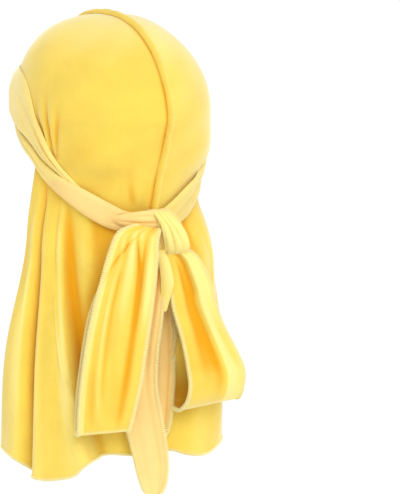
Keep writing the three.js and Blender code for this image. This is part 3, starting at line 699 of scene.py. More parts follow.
class DURAG_OT_crown(bpy.types.Operator):
    """Stretches the two panels of the crown over the head"""
    bl_idname = "durag.crown"
    bl_label = "Crown panels"

    def execute(self, context):
        s = sizes()
        for name, side, listed in (("crown_left_panel", 1, LEFT_CROWN_FOLDS),
                                   ("crown_right_panel", -1, RIGHT_CROWN_FOLDS)):
            bearing = side * np.linspace(0, 180, PANEL_COLUMNS + 1)[None, :] * np.ones((PANEL_ROWS + 1, 1))
            rows = np.linspace(0, 1, PANEL_ROWS + 1)[:, None] ** PANEL_SPACING
            drop = arc_drop(drop_arc(crown_edge(bearing)) * rows)
            around = bearing % 360
            over = np.minimum(strap_edges(bearing, 1)[0], strap_edges(bearing, -1)[0])
            open_cloth = 1 - smooth(drop, over + FADE[0], over + FADE[1])
            slack = ripple(drop, around, *SLACK) * smooth(drop, *SLACK_FROM)
            relief = (folds(listed, drop * 1000, around) / 1000 + slack) * open_cloth
            foot = np.abs(on_head(bearing, drop, relief)[..., 0]) - s.seam_width / 2
            # Painted shade and highlight: from the relief, lower down, round the top, along the seam's foot
            # and on the right panel.
            depth = PLAIN - relief * FOLD_SHADE + LOW_SHADE * smooth(drop, *LOW_DROPS)
            depth = depth + TOP_SHADE * (1 - smooth(drop, *TOP_DROPS))
            if side > 0:
                depth = depth + SEAM_SHADE * (1 - smooth(foot, 0.0, SEAM_SHADE_REACH))
            else:
                depth = depth + RIGHT_SHADE
            grids = []
            for out in (0.0, s.cloth):
                grid = on_head(bearing, drop, out + relief)
                grid[..., 0] = side * np.maximum(side * grid[..., 0], MIDDLE_GAP)
                grids.append(grid)
            made = cloth_piece(name + "_velvet", *grids, two_faced(), depth)
            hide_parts(name)
        return {"FINISHED"}


# The roll's section, by its turn from its left foot over its crest. Across is a share of its width, and up of
# its height.
SEAM_SECTION = table(
    "turn across up",
    (0, 0.5, 0.0), (1, 0.5, 0.3), (2, 0.42, 0.68), (3, 0.24, 0.93), (4, 0.02, 1.0), (5, -0.22, 0.95),
    (6, -0.4, 0.72), (7, -0.5, 0.35), (8, -0.5, 0.0),
)
SEAM_ROWS = 900
SEAM_COLUMNS = 23
SEAM_TURNS = 8
# The roll ends this far above the straps, and its foot stands this far off the crown.
SEAM_END = 0.001
SEAM_FOOT = 0.0002
# Its crest leans to the wearer's right.
SEAM_LEAN = 0.0009
# Waves along the roll: how its size wanders, and how it sways to the sides away from its top.
WANDER = ((0.05, 130, 0), (0.04, 310, 1))
SWAY = ((0.0004, 62, 1), (0.0002, 140, 2))
SWAY_FROM = (8, 30)
# Slanted ribs of the overlock thread round the roll, and finer knobs among them.
RIB = 0.00018
KNOB = 0.00007
RIB_SLANT = 1.5
# The roll's painted shade in its middle, how much deeper the painted shade is on its left foot, away from the
# light, than on its right one, and how the ribs change it.
ROLL_SHADE = 0.32
ROLL_SHADE_ACROSS = 0.5
RIB_SHADE = 250


class DURAG_OT_seam(bpy.types.Operator):
    """Raises the rolled, overlocked seam along the middle of the crown"""
    bl_idname = "durag.seam"
    bl_label = "Centre seam"

    def execute(self, context):
        s = sizes()
        front, nape = (float(drop_arc(strap_edges(end, 1)[0] - SEAM_END)) for end in (0.0, 180.0))
        arc = np.linspace(-front, nape, SEAM_ROWS)
        bearing = np.where(arc < 0, 0.0, 180.0)
        drop = arc_drop(np.abs(arc))
        turn = np.linspace(0, SEAM_TURNS, SEAM_COLUMNS)[None]
        across, up = (read(SEAM_SECTION, "turn", turn, key) for key in ("across", "up"))
        base = on_head(bearing, drop, s.cloth + SEAM_FOOT)
        crest = on_head(bearing, drop, s.cloth + SEAM_SEAT + s.seam_height)
        run = run_of(crest)[:, None]
        wander = 1 + waves(run, *WANDER)
        grid = base[:, None] + (crest - base)[:, None] * (up[..., None] * wander[..., None])
        sway = waves(run, *SWAY) * smooth(np.abs(arc), *SWAY_FROM)[:, None]
        grid[..., 0] = (s.seam_width * across - SEAM_LEAN * up) * wander + sway
        phase = 2 * np.pi * run / s.stitch_pitch + RIB_SLANT * turn
        knobs = KNOB * np.sin(phase * 2.37 + 1.1) * np.sin(run * 900 + turn * 2)
        ribs = (RIB * np.sin(phase) + knobs) * smooth(up, 0.05, 0.4)
        faces_up = normals_of(grid)[SEAM_ROWS // 2, SEAM_COLUMNS // 2, 2] > 0
        outer = raised(grid, -ribs if faces_up else ribs)
        share = np.linspace(0, 1, SEAM_COLUMNS)[None, :, None]
        inner = outer[:, :1] * (1 - share) + outer[:, -1:] * share
        # The roll is painted in shade on its left and lighter on its right, and the ribs change its painted
        # shade.
        made = cloth_piece("centre_seam_roll", inner, outer, [finish_named("velvet_pile")],
                           ROLL_SHADE + ROLL_SHADE_ACROSS * across - RIB_SHADE * ribs)
        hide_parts("centre_seam")
        return {"FINISHED"}


# The straps round the head

# Bearings between which the left strap comes down off the right one in front, and between which the right one
# climbs on the left one at the back, on either side.
LIFT_FRONT = (74, 88)
LIFT_BACK = {"left": (104, 117), "right": (136, 150)}
# What is left at the back of a strap's swell, and the width up to which a strap swells in full.
FLAT_AT_BACK = 0.35
STRAP_BUNDLE = 0.02
# Bearings between which a strap's top edge begins to come down to the crown, from behind to the front. It
# does so from this share of its free width to this much past it, and the free width counts as this at least.
BROW_DROOP = (100, 84)
DROOP_FROM = 0.2
DROOP_REACH = 0.14
DROOP_LEAST = 0.12
STRAP_STEPS = 420
STRAP_COLUMNS = 30
# How near a strap's edges come to what is under it, as shares of the room there, at its foot and at its top.
FOOT_CLOSE = 0.85
TOP_CLOSE = 0.75
# How square a strap's edges are, and how full its swell.
STRAP_SQUARE = 14
STRAP_FULL = 0.6
# The swell at which folds have their full height, the crumples between them, the least thickness of a strap's
# edges, and how much more its middle has at least.
FULL_PUFF = 0.0012
CRUMPLE = 0.00012
THINNEST = 0.0002
THIN = 0.0009
# The pile's painted tone, a little paler than plain cloth, and the painted shade and highlight that follow
# the relief.
STRAP_SHADE = 0.4
STRAP_FOLD_SHADE = 350
# The right strap begins to turn over at the first of these bearings, is turned at the second, and shows its
# back up to the third.
SHOWN_FROM = 96
TURNED_OVER = 118
SHOWN_TO = 186


def back_share(bearing):
    """0 in front and 1 at the back of the head, where the straps lie on each other again."""
    around = turned(bearing)
    away = np.abs(around)
    return np.where(around < 0, smooth(away, *LIFT_BACK["right"]), smooth(away, *LIFT_BACK["left"]))


def strap_puff(bearing, side):
    """How far a strap swells in its middle."""
    top, foot = strap_edges(bearing, side)
    flat = mix(1, FLAT_AT_BACK, back_share(bearing))
    return sizes().strap_puff * np.minimum(1, STRAP_BUNDLE / (foot - top)) * flat


def strap_lift(bearing, side):
    """How far a strap stands off the crown because the other one lies under it."""
    s = sizes()
    height = s.strap_edge + s.seat_room + strap_puff(bearing, -side)
    if side > 0:
        return height * (1 - smooth(np.abs(turned(bearing)), *LIFT_FRONT))
    return height * back_share(bearing)


def strap_droop(bearing, side, u):
    """Where a strap reaches above the one beneath it, its top edge comes down to the crown."""
    top, foot = strap_edges(bearing, side)
    beneath = strap_edges(bearing, -side)[0]
    brow = smooth(np.abs(turned(bearing)), *BROW_DROOP)
    free = np.clip((beneath - top) / (foot - top), 0, 1)
    return mix(1, smooth(u, free * DROOP_FROM, np.maximum(free, DROOP_LEAST) + DROOP_REACH), brow)


# Folds along each strap: along is a bearing in degrees, across a share of its width from its top edge, and
# height is in millimetres.
LEFT_STRAP_FOLDS = [
    crease((0, 0.3, 0.05, -0.7), (60, 0.34, 0.05, -0.8), (84, 0.4, 0.07, -1.0), (100, 0.45, 0.1, -1.3),
           (112, 0.5, 0.14, -1.2), (128, 0.5, 0.12, -0.6)),
    crease((0, 0.64, 0.05, -0.8), (50, 0.66, 0.05, -0.8), (80, 0.74, 0.06, -0.9), (98, 0.8, 0.07, -0.9),
           (112, 0.8, 0.1, -0.5)),
    crease((196, 0.3, 0.06, -0.5), (220, 0.35, 0.07, -1.0), (260, 0.4, 0.08, -1.0), (300, 0.36, 0.06, -0.9),
           (359, 0.3, 0.05, -0.7)),
    crease((210, 0.72, 0.06, -0.4), (240, 0.7, 0.07, -0.9), (300, 0.68, 0.06, -0.8),
           (359, 0.64, 0.05, -0.8)),
]
RIGHT_STRAP_FOLDS = [
    crease((0, 0.34, 0.05, -0.8), (60, 0.36, 0.06, -0.8), (86, 0.5, 0.08, -0.9), (100, 0.56, 0.08, -0.7),
           (112, 0.6, 0.06, 0)),
    crease((0, 0.7, 0.05, -0.7), (50, 0.7, 0.05, -0.8), (76, 0.8, 0.06, -0.7), (90, 0.85, 0.06, 0)),
    crease((118, 0.98, 0.05, 0), (128, 0.9, 0.045, -0.8), (142, 0.8, 0.045, -1.1), (156, 0.72, 0.05, -1.0),
           (172, 0.66, 0.05, -0.6)),
    crease((192, 0.4, 0.07, -0.5), (206, 0.45, 0.07, -1.0), (222, 0.42, 0.08, -1.1), (244, 0.4, 0.08, -1.1),
           (270, 0.42, 0.07, -1.0), (310, 0.36, 0.06, -0.9), (359, 0.34, 0.05, -0.8)),
    crease((200, 0.74, 0.06, -0.4), (224, 0.72, 0.07, -0.9), (260, 0.74, 0.06, -0.8),
           (359, 0.7, 0.05, -0.7)),
]


class DURAG_OT_straps(bpy.types.Operator):
    """Takes each strap once round the head, crossed over the other one at the brow and at the nape"""
    bl_idname = "durag.straps"
    bl_label = "Straps round the head"

    def execute(self, context):
        s = sizes()
        bearing = np.linspace(0, 360, STRAP_STEPS, endpoint=False)[:, None] * np.ones((1, STRAP_COLUMNS + 1))
        u = (0.5 - 0.5 * np.cos(np.pi * np.linspace(0, 1, STRAP_COLUMNS + 1))) * np.ones((STRAP_STEPS, 1))
        bow = np.sin(np.pi * np.clip(u, 0, 1)) ** 0.5
        for name, side, listed in (("left_strap_wrap", 1, LEFT_STRAP_FOLDS),
                                   ("right_strap_wrap", -1, RIGHT_STRAP_FOLDS)):
            top, foot = strap_edges(bearing, side)
            lift = strap_lift(bearing, side) * strap_droop(bearing, side, u)
            lifted = smooth(lift, 0.0, s.strap_edge + s.seat_room)
            close = np.maximum(FOOT_CLOSE * lifted * smooth(u, 0.8, 0.98), TOP_CLOSE * smooth(u, 0.2, 0.02))
            seat = s.cloth + s.seat_room + lift - s.seat_room * close
            puff = strap_puff(bearing, side)
            crumple = CRUMPLE * np.sin(bearing * 1.3 + u * 9) * np.sin(bearing * 0.47 + 2)
            relief = folds(listed, bearing, u) / 1000 * np.minimum(1, puff / FULL_PUFF) * bow + crumple * bow
            edge = s.strap_edge * np.maximum(1 - np.abs(2 * u - 1) ** STRAP_SQUARE, 0) ** 0.5
            swell = puff * np.sin(np.pi * u) ** STRAP_FULL
            rise = np.maximum(edge + swell + relief, THINNEST + THIN * bow)
            inner, outer = (on_head(bearing, mix(top, foot, u), out) for out in (seat, seat + rise))
            reverse = None
            if side < 0:
                at, share = bearing[:, :-1], u[:, :-1] + 0.5 / STRAP_COLUMNS
                over = share > mix(0.8, 0.0, smooth(at, SHOWN_FROM, TURNED_OVER))
                reverse = (at > SHOWN_FROM) & (at < SHOWN_TO) & over
            # The straps take the paler velvet with painted sheen, with painted shade in their folds and
            # painted highlight on their ridges.
            made = cloth_piece(name + "_velvet", inner, outer, two_faced("light_velvet_pile"),
                               STRAP_SHADE - relief * STRAP_FOLD_SHADE, ring=True, show_inner=reverse)
            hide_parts(name)
        return {"FINISHED"}


# The cape

# The cape's large folds. To is a bearing at the hem and start the one at the top edge. High, middle and hem
# say how far the cape stands out on its way down, as shares of its reach, and drop is a share of its drop.
FOLDS = table(
    "to start high middle hem drop",
    (77, 87, 0.82, 0.985, 0.998, 1.005), (83, 89.5, 0.825, 0.98, 1.005, 1.012),
    (89, 92, 0.83, 0.975, 1.01, 1.018), (94, 94.5, 0.825, 0.945, 0.985, 1.03),
    (99, 97.5, 0.73, 0.8, 0.84, 1.058), (106, 101, 0.8, 0.91, 0.985, 1.062),
    (113, 104, 0.8, 0.9, 0.975, 1.065), (122, 108, 0.79, 0.885, 0.965, 1.06),
    (130, 111, 0.78, 0.88, 0.955, 1.05), (136, 114, 0.775, 0.87, 0.95, 1.025),
    (141, 119, 0.69, 0.71, 0.75, 1.012), (148, 129, 0.71, 0.72, 0.76, 1.005),
    (156, 143, 0.68, 0.68, 0.745, 1.007), (165, 158, 0.7, 0.68, 0.73, 1.01),
    (174, 172, 0.655, 0.645, 0.72, 1.01), (183, 184, 0.65, 0.635, 0.73, 1.004),
    (190, 194, 0.7, 0.66, 0.78, 1.002), (197, 203, 0.77, 0.71, 0.85, 1.012),
    (204, 211, 0.8, 0.78, 0.91, 1.016), (212, 218, 0.85, 0.83, 0.925, 1.014),
    (220, 225, 0.87, 0.885, 0.925, 1.006), (228, 231, 0.865, 0.93, 0.93, 1.0),
    (236, 237, 0.855, 0.935, 0.92, 0.995), (244, 243, 0.835, 0.9, 0.9, 0.995),
    (252, 250, 0.8, 0.85, 0.84, 1.0), (261, 258, 0.81, 0.92, 0.96, 1.005),
    (270, 267, 0.79, 0.92, 0.97, 1.005), (280, 278, 0.765, 0.9, 0.95, 1.0),
)
# Shares of the way down: where the cape hangs free of the head, and where high and middle are.
FLARE, HIGH, MIDDLE = 0.26, 0.3, 0.65

# Finer folds: along is a share of the way from the tie line to the hem, across a bearing at the hem, and
# height is in millimetres.
CAPE_FOLDS = [
    crease((0.06, 100.5, 1.1, 0), (0.2, 100.0, 1.1, -4.0), (0.45, 99.5, 1.1, -6.0), (0.75, 99.5, 1.1, -6.0),
           (1.0, 100.0, 1.3, -4.0)),
    crease((0.05, 104, 1.5, 0), (0.2, 104, 1.5, 1.2), (0.5, 103, 1.6, 1.6), (1.0, 103, 1.8, 1.0)),
    crease((0.3, 124.5, 0.7, 0), (0.42, 127.0, 0.7, 1.1), (0.6, 131.5, 0.7, 1.7), (0.8, 137.0, 0.7, 1.5),
           (1.0, 139.5, 0.8, 1.1)),
    crease((0.03, 128, 2.4, 0), (0.12, 127, 2.2, -1.8), (0.3, 126, 2.0, -0.8), (0.42, 125, 1.8, 0)),
    crease((0.3, 91.5, 1.2, 0), (0.4, 90.5, 1.0, 1.3), (0.5, 90.5, 1.0, 0.9), (0.62, 91, 1.2, 0)),
    crease((0.02, 206, 2.0, 0), (0.1, 207, 1.8, -1.6), (0.3, 208, 1.8, -1.4), (0.6, 208, 2.0, -0.6),
           (0.8, 208, 2, 0)),
    crease((0.02, 221, 2.0, 0), (0.1, 220, 1.8, -1.4), (0.3, 219, 1.6, -1.2), (0.55, 217, 2.0, 0)),
]
CAPE_ROWS = 160
CAPE_COLUMNS = 300
CAPE_SPACING = 1.15
# How far down the cape still lies on the head.
CAPE_HELD = TUCK + 0.0006
# Slight waves of the hanging cloth: their height, and their rates down the cape and round it.
CAPE_SOFT = (0.0006, (3, 0.23), (7, 0.11))
# Folds are told over this reach, and have their full painted shade at this depth.
CAPE_FOLD_REACH = 0.012
CAPE_FOLD_FULL = 0.003
# Painted shade on the pile: deeper all over, in the shadow behind the bow and in the fold beside it, and
# evened out to a slightly pale painted tone towards the hem, which lightens the shadow under the loops.
CAPE_SHADE = 0.13
BOW_SHADE = 0.36
BESIDE_SHADE = 0.25
BESIDE_AT = 131
BESIDE_WIDTH = 6
HEM_SHADE = 0.4
HEM_SHARE = 0.6
# Bearings behind the bow, from and to, and the shares of the way down where these painted shades set in and
# end.
BOW_FROM = (128, 138)
BOW_TO = (208, 222)
BOW_ENDS = (0.75, 0.5)
BESIDE_FROM = (0.2, 0.4)
BESIDE_ENDS = (0.85, 0.6)
HEM_FROM = (0.72, 0.9)
HEM_STITCH_REACH = 0.5


def cape_points():
    """The cape's middle as a grid, and how far down each point is, its bearing and how free it hangs."""
    s = sizes()
    flat = np.ones((CAPE_ROWS + 1, CAPE_COLUMNS + 1))
    to = np.linspace(FOLDS["to"][0], FOLDS["to"][-1], CAPE_COLUMNS + 1)[None, :] * flat
    t = (np.linspace(0, 1, CAPE_ROWS + 1) ** CAPE_SPACING)[:, None] * flat
    start, high, middle, hem, deep = (read(FOLDS, "to", to, key)
                                      for key in ("start", "high", "middle", "hem", "drop"))
    top = crown_edge(start) + EDGE_GAP
    bottom = deep * s.cape_drop
    drop = mix(top, bottom, t)
    knots, values = (0, HIGH, MIDDLE, 1), (high, high, middle, hem)
    slopes = [(values[b] - values[a]) / (knots[b] - knots[a]) for a, b in ((0, 1), (0, 2), (1, 3), (2, 3))]
    reach = np.zeros_like(t)
    for k in range(3):
        span = knots[k + 1] - knots[k]
        part = bend(np.clip((t - knots[k]) / span, 0, 1), span, values[k:k + 2], slopes[k:k + 2])
        reach = np.where(t >= knots[k], part, reach)
    reach = reach * s.cape_reach
    bearing = np.radians(mix(start, to, t * t))
    still = CAPE_HELD / (bottom - top)
    free = 1 - (1 - np.clip((t - still) / (FLARE - still), 0, 1)) ** 2
    seated = on_head(start, drop, s.cloth / 2)
    hung = np.stack([reach * np.sin(bearing), -reach * np.cos(bearing), -drop], -1)
    return mix(seated, hung, free[..., None]), t, to, free


def cape_shade(middle, outward, t):
    """The painted shade and highlight on the cape's pile, from its folds, the bow and the hem."""
    around = np.degrees(np.arctan2(middle[..., 0], -middle[..., 1])) % 360
    behind = smooth(around, *BOW_FROM) * (1 - smooth(around, *BOW_TO)) * smooth(t, *BOW_ENDS)
    beside = np.exp(-((around - BESIDE_AT) / BESIDE_WIDTH) ** 2)
    beside = beside * smooth(t, *BESIDE_FROM) * smooth(t, *BESIDE_ENDS)
    depth = depth_of(middle, outward, CAPE_FOLD_REACH, CAPE_FOLD_FULL)
    depth = depth + CAPE_SHADE + BOW_SHADE * behind + BESIDE_SHADE * beside
    return mix(depth, HEM_SHADE, HEM_SHARE * smooth(t, *HEM_FROM))


class DURAG_OT_cape(bpy.types.Operator):
    """Hangs the folded cape from the crown's edge"""
    bl_idname = "durag.cape"
    bl_label = "Cape"

    def execute(self, context):
        s = sizes()
        middle, t, to, free = cape_points()
        relief = folds(CAPE_FOLDS, t, to) / 1000
        soft = ripple(t, to, *CAPE_SOFT)
        outward = normals_of(middle)
        from_axis = unit(middle * [1, 1, 0])
        flip = np.sign((outward * from_axis).sum(-1).mean())
        outward = outward * flip
        middle = middle + outward * ((relief + soft) * free)[..., None]
        faces = two_faced() if flip > 0 else two_faced()[::-1]
        made = sheet_piece("cape_velvet", middle, s.cloth, faces, cape_shade(middle, outward, t))
        hem = stitches("cape_hem_stitches", middle[-1], middle[-2] - middle[-1], normals_of(middle)[-1],
                       s.cloth, HEM_STITCH_REACH)
        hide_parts("cape")
        return {"FINISHED"}


# The bow

# Each row is a place along a ribbon: its middle as shares of the bow's spread, out and drop, the bearing and
# the tilt of its width in degrees, and its half width and its pleats as shares of the full ones.
BOW_COLUMNS = "side out drop face tilt width fold"
LEFT_LOOP = table(
    BOW_COLUMNS,
    (0.3, 0.12, -0.05, 150, 12, 0.38, 0.5), (0.54, 0.22, -0.012, 148, 12, 0.64, 0.9),
    (0.66, 0.27, 0.09, 146, 9, 0.78, 1.0), (0.78, 0.3, 0.22, 145, 6, 0.86, 0.95),
    (0.91, 0.33, 0.36, 145, 4, 0.93, 0.75), (1.02, 0.33, 0.51, 145, 2, 0.96, 0.55),
    (1.13, 0.33, 0.7, 145, 0, 0.96, 0.45), (1.21, 0.33, 0.84, 145, -4, 0.92, 0.35),
    (1.25, 0.27, 0.94, 145, -6, 0.86, 0.15), (1.22, 0.07, 0.972, 145, -6, 0.84, 0.0),
    (1.17, -0.09, 0.93, 145, -6, 0.86, -0.15), (1.07, -0.1, 0.7, 145, 0, 0.9, -0.3),
    (0.86, -0.07, 0.36, 146, 4, 0.85, -0.4), (0.5, -0.03, 0.12, 148, 14, 0.52, -0.4),
    (0.12, -0.02, 0.05, 150, 36, 0.26, -0.2),
)
RIGHT_LOOP = table(
    BOW_COLUMNS,
    (-0.1, 0.16, 0.05, 160, -30, 0.26, 0.4), (-0.22, 0.24, 0.1, 162, -24, 0.4, 0.8),
    (-0.32, 0.3, 0.155, 164, -18, 0.56, 1.0), (-0.42, 0.37, 0.27, 168, -14, 0.7, 0.9),
    (-0.46, 0.43, 0.36, 172, -12, 0.718, 0.8), (-0.6, 0.54, 0.5, 178, -12, 0.795, 0.6),
    (-0.71, 0.67, 0.615, 182, -12, 0.941, 0.45), (-0.79, 0.76, 0.72, 184, -10, 1.067, 0.25),
    (-0.79, 0.64, 0.81, 184, -8, 1.096, 0.1), (-0.79, 0.27, 0.865, 178, -7, 1.096, 0.0),
    (-0.79, -0.13, 0.845, 170, -7, 1.086, 0.0), (-0.79, -0.23, 0.77, 168, -7, 1.067, -0.1),
    (-0.69, 0.03, 0.6, 168, -8, 0.931, -0.2), (-0.62, 0.14, 0.43, 170, -10, 0.74, -0.3),
    (-0.43, 0.05, 0.27, 166, -14, 0.58, -0.3), (-0.34, 0.04, 0.14, 164, -24, 0.38, -0.2),
    (-0.23, 0.02, 0.07, 162, -34, 0.22, 0.0),
)
FRONT_TAIL = table(
    BOW_COLUMNS,
    (0.1, -0.14, 0.07, 152, 8, 0.24, 0.2), (0.15, -0.08, 0.16, 150, 6, 0.38, 0.6),
    (0.26, 0.0, 0.25, 150, 8, 0.5, 0.8), (0.42, 0.05, 0.42, 150, 8, 0.6, 0.6),
    (0.52, 0.05, 0.58, 150, 2, 0.63, 0.4), (0.53, 0.05, 0.76, 150, -4, 0.62, 0.25),
    (0.42, 0.05, 0.92, 150, -8, 0.6, 0.2), (0.29, 0.05, 1.08, 150, -8, 0.55, 0.2),
    (0.23, 0.05, 1.19, 150, -8, 0.49, 0.2), (0.2, 0.05, 1.275, 150, -8, 0.36, 0.15),
    (0.19, 0.05, 1.315, 150, -8, 0.18, 0.1),
)
REAR_TAIL = table(
    BOW_COLUMNS,
    (-0.06, -0.3, 0.07, 152, 0, 0.26, 0.1), (-0.07, -0.36, 0.2, 152, 0, 0.34, 0.3),
    (-0.08, -0.33, 0.4, 152, 0, 0.38, 0.4), (-0.08, -0.3, 0.65, 152, 0, 0.4, 0.4),
    (-0.03, -0.28, 0.88, 152, 0, 0.4, 0.4), (0.01, -0.27, 0.99, 152, 0, 0.34, 0.3),
    (0.01, -0.27, 1.04, 152, 0, 0.18, 0.1),
)
# How the pleats stand out across a ribbon.
PLEATS = table(
    "across out",
    (-1, 0.0), (-0.72, 0.35), (-0.42, -0.15), (-0.1, 0.75), (0.26, 0.1), (0.46, -0.8), (0.7, 0.3), (1, 0.0),
)
RIGHT_PLEATS = table(
    "across out",
    (-1, 0.2), (-0.65, 0.25), (-0.25, -0.2), (0.1, -0.7), (0.34, 0.8), (0.55, 0.55), (0.8, 0.1), (1, -0.5),
)
FLAT = table("across out", (-1, 0.0), (-0.5, 0.5), (0, 0.7), (0.5, 0.5), (1, 0.0))
# Where the bow's middle is, its own plane as a share of the cape's reach, and the share of its drop at which
# it has come to that plane.
BOW_SIDE = -0.001
BOW_PLANE = 0.845
BOW_SETTLED = 0.5
BOW_CLOTH = 0.0014
KNOT_DEEP = 0.0115
# Painted light on the pile: a painted highlight at a sewn edge, in a strip along a flank that faces away,
# along the turn at the foot, on the way up behind it and on the knot's bands, and painted shade low down and
# a little all over.
EDGE_HIGHLIGHT = (0.87, 0.95)
STRIP_HIGHLIGHT = 0.4
STRIP_UP_TO = 0.8
LIP_HIGHLIGHT = 0.35
LIP = (0.0045, 0.0015)
UP_HIGHLIGHT = 1.1
LOW = (-0.2, -0.31)
LOOP_SHADE = 0.04
KNOT_HIGHLIGHT = 0.25


def knot_back():
    """How far back the knot's middle is: the layers under it at the nape, and its own depth."""
    s = sizes()
    nape_stack = s.cloth + 2 * s.seat_room + strap_lift(180.0, -1) + s.strap_edge + strap_puff(180.0, -1)
    return float(on_head(np.array(180.0), np.array(s.knot_drop), np.array(nape_stack))[1]) + KNOT_DEEP


def ribbon(rows, steps, columns, listed=(), pleats=PLEATS):
    """A grid of points along and across one bow piece. Its fine folds are read with along as a row number."""
    s = sizes()
    last = len(rows["side"]) - 1
    rows = {**rows, "k": np.arange(last + 1.0)}
    k = np.linspace(0, last, last * steps + 1)
    side, out, drop, face, tilt, width, deep = (read(rows, "k", k, key)[:, None]
                                                for key in BOW_COLUMNS.split())
    back = mix(knot_back(), s.cape_reach * BOW_PLANE, smooth(drop, 0, BOW_SETTLED)) + s.bow_out * out
    centre = np.concatenate([BOW_SIDE + s.bow_spread * side, back, -(s.knot_drop + s.bow_drop * drop)], 1)
    face, tilt = np.radians(face), np.radians(tilt)
    across = np.concatenate([np.cos(face) * np.cos(tilt), np.sin(face) * np.cos(tilt), -np.sin(tilt)], 1)
    outward = np.concatenate([np.sin(face), -np.cos(face), 0 * face], 1)
    u = np.linspace(-1, 1, columns + 1)[None, :]
    relief = s.bow_fold * deep * read(pleats, "across", u, "out") + folds(listed, k[:, None], u) / 1000
    stretch = u * s.bow_half_width * width
    return centre[:, None] + across[:, None] * stretch[..., None] + outward[:, None] * relief[..., None], u


def loop_shade(depth, grid, u, paler, deeper):
    """Adds a loop's painted light: a painted highlight strip along one edge, painted shade low down, and a
    painted highlight where it turns and on its way up behind the turn.
    """
    height = grid[..., 2]
    strip = smooth(u, *paler) * (depth < STRIP_UP_TO)
    depth = depth + LOOP_SHADE + deeper * smooth(height, *LOW) - STRIP_HIGHLIGHT * strip
    past_turn = np.arange(len(grid))[:, None] - height.argmin(0)
    depth = depth - UP_HIGHLIGHT * deeper * smooth(past_turn, 0.0, 4.0)
    return depth - LIP_HIGHLIGHT * smooth(height - height.min(0), *LIP)


def sewn_ribbon(node, rows, materials, steps, columns, listed=(), pleats=PLEATS, paler=None,
                deeper=0.12):
    """A loop or a tail with its two overlocked edges, in place of its node."""
    grid, u = ribbon(rows, steps, columns, listed, pleats)
    normal = normals_of(grid)
    # Painted shade in the folds and painted highlight on the ridges and at the sewn edges.
    depth = depth_of(grid, normal) * (1 - smooth(np.abs(u), *EDGE_HIGHLIGHT))
    if paler:
        depth = loop_shade(depth, grid, u, paler, deeper)
    made = sheet_piece(node + "_velvet", grid, BOW_CLOTH, materials, np.clip(depth, 0, 1))
    left, right = (stitches(f"{node}_{name}_stitches", grid[:, edge], grid[:, inside] - grid[:, edge],
                            normal[:, edge], BOW_CLOTH)
                   for name, edge, inside in (("left", 0, 1), ("right", -1, -2)))
    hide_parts(node)


def knot_ribbon(name, rows, materials, listed=()):
    """A short band of folded cloth on the knot."""
    grid = ribbon(rows, KNOT_STEPS, KNOT_COLUMNS, listed, FLAT)[0]
    # Painted shade in the folds and painted highlight on the ridges, the band painted paler all over.
    depth = depth_of(grid, normals_of(grid)) - KNOT_HIGHLIGHT
    made = sheet_piece(name + "_velvet", grid, BOW_CLOTH, materials, np.clip(depth, 0, 1))


# Folds of the loops: along is a row of the loop's table, across is -1 to 1, and height is in millimetres.
LEFT_LOOP_FOLDS = [
    crease((0.3, 0.0, 0.1, -0.5), (1, 0.02, 0.09, -2.0), (2, 0.2, 0.09, -3.0), (2.8, 0.32, 0.1, -2.6),
           (3.6, 0.36, 0.14, -1.0), (4.8, 0.38, 0.2, 0)),
    crease((0.3, 0.4, 0.2, 0.3), (1, 0.45, 0.2, 1.2), (2, 0.58, 0.2, 1.8), (3, 0.7, 0.16, 1.4),
           (5, 0.7, 0.16, 0)),
    crease((0.9, 0.0, 0.07, 0), (1.3, -0.15, 0.08, -1.3), (2, -0.5, 0.09, -1.5), (2.7, -0.76, 0.09, -1.0),
           (3.4, -0.9, 0.1, 0)),
    crease((0.6, -0.45, 0.1, 0), (1.4, -0.5, 0.1, 1.8), (2.4, -0.45, 0.1, 1.8), (3, -0.5, 0.09, 2.0),
           (4.2, -0.5, 0.08, 2.2), (5.6, -0.46, 0.09, 2.1), (6.8, -0.36, 0.11, 1.8), (8, -0.2, 0.2, 0)),
    crease((3.5, -0.15, 0.1, 0), (5, -0.1, 0.16, -0.7), (6.5, 0.1, 0.2, -0.4), (8, 0.2, 0.2, 0)),
]
RIGHT_LOOP_FOLDS = [
    crease((0.5, 0.1, 0.14, 0), (2, 0.2, 0.14, 1.6), (3, 0.28, 0.14, 2.4), (5, 0.36, 0.16, 2.8),
           (7, 0.45, 0.18, 2.2), (8.5, 0.5, 0.2, 0)),
    crease((1, -0.35, 0.14, 0), (2.5, -0.3, 0.14, -1.6), (4, -0.25, 0.16, -1.4), (6, -0.3, 0.2, -0.8),
           (7.5, -0.3, 0.2, 0)),
]


class DURAG_OT_bow(bpy.types.Operator):
    """Hangs the two loops and the two tails of the bow, with their overlocked edges"""
    bl_idname = "durag.bow"
    bl_label = "Bow"

    def execute(self, context):
        both = two_faced()
        pile = (both[0], both[0])
        # Each loop gets a painted highlight strip between the shares given as paler, and painted shade low
        # down by deeper.
        sewn_ribbon("left_bow_loop", LEFT_LOOP, both, steps=14, columns=56,
                    listed=LEFT_LOOP_FOLDS, paler=(-0.74, -0.82))
        sewn_ribbon("right_bow_loop", RIGHT_LOOP, pile, steps=14, columns=56,
                    listed=RIGHT_LOOP_FOLDS, pleats=RIGHT_PLEATS, paler=(0.3, 0.42), deeper=0.2)
        sewn_ribbon("front_tail", FRONT_TAIL, both[::-1], steps=14, columns=36)
        sewn_ribbon("rear_tail", REAR_TAIL, both[::-1], steps=16, columns=28)
        return {"FINISHED"}


# The knot

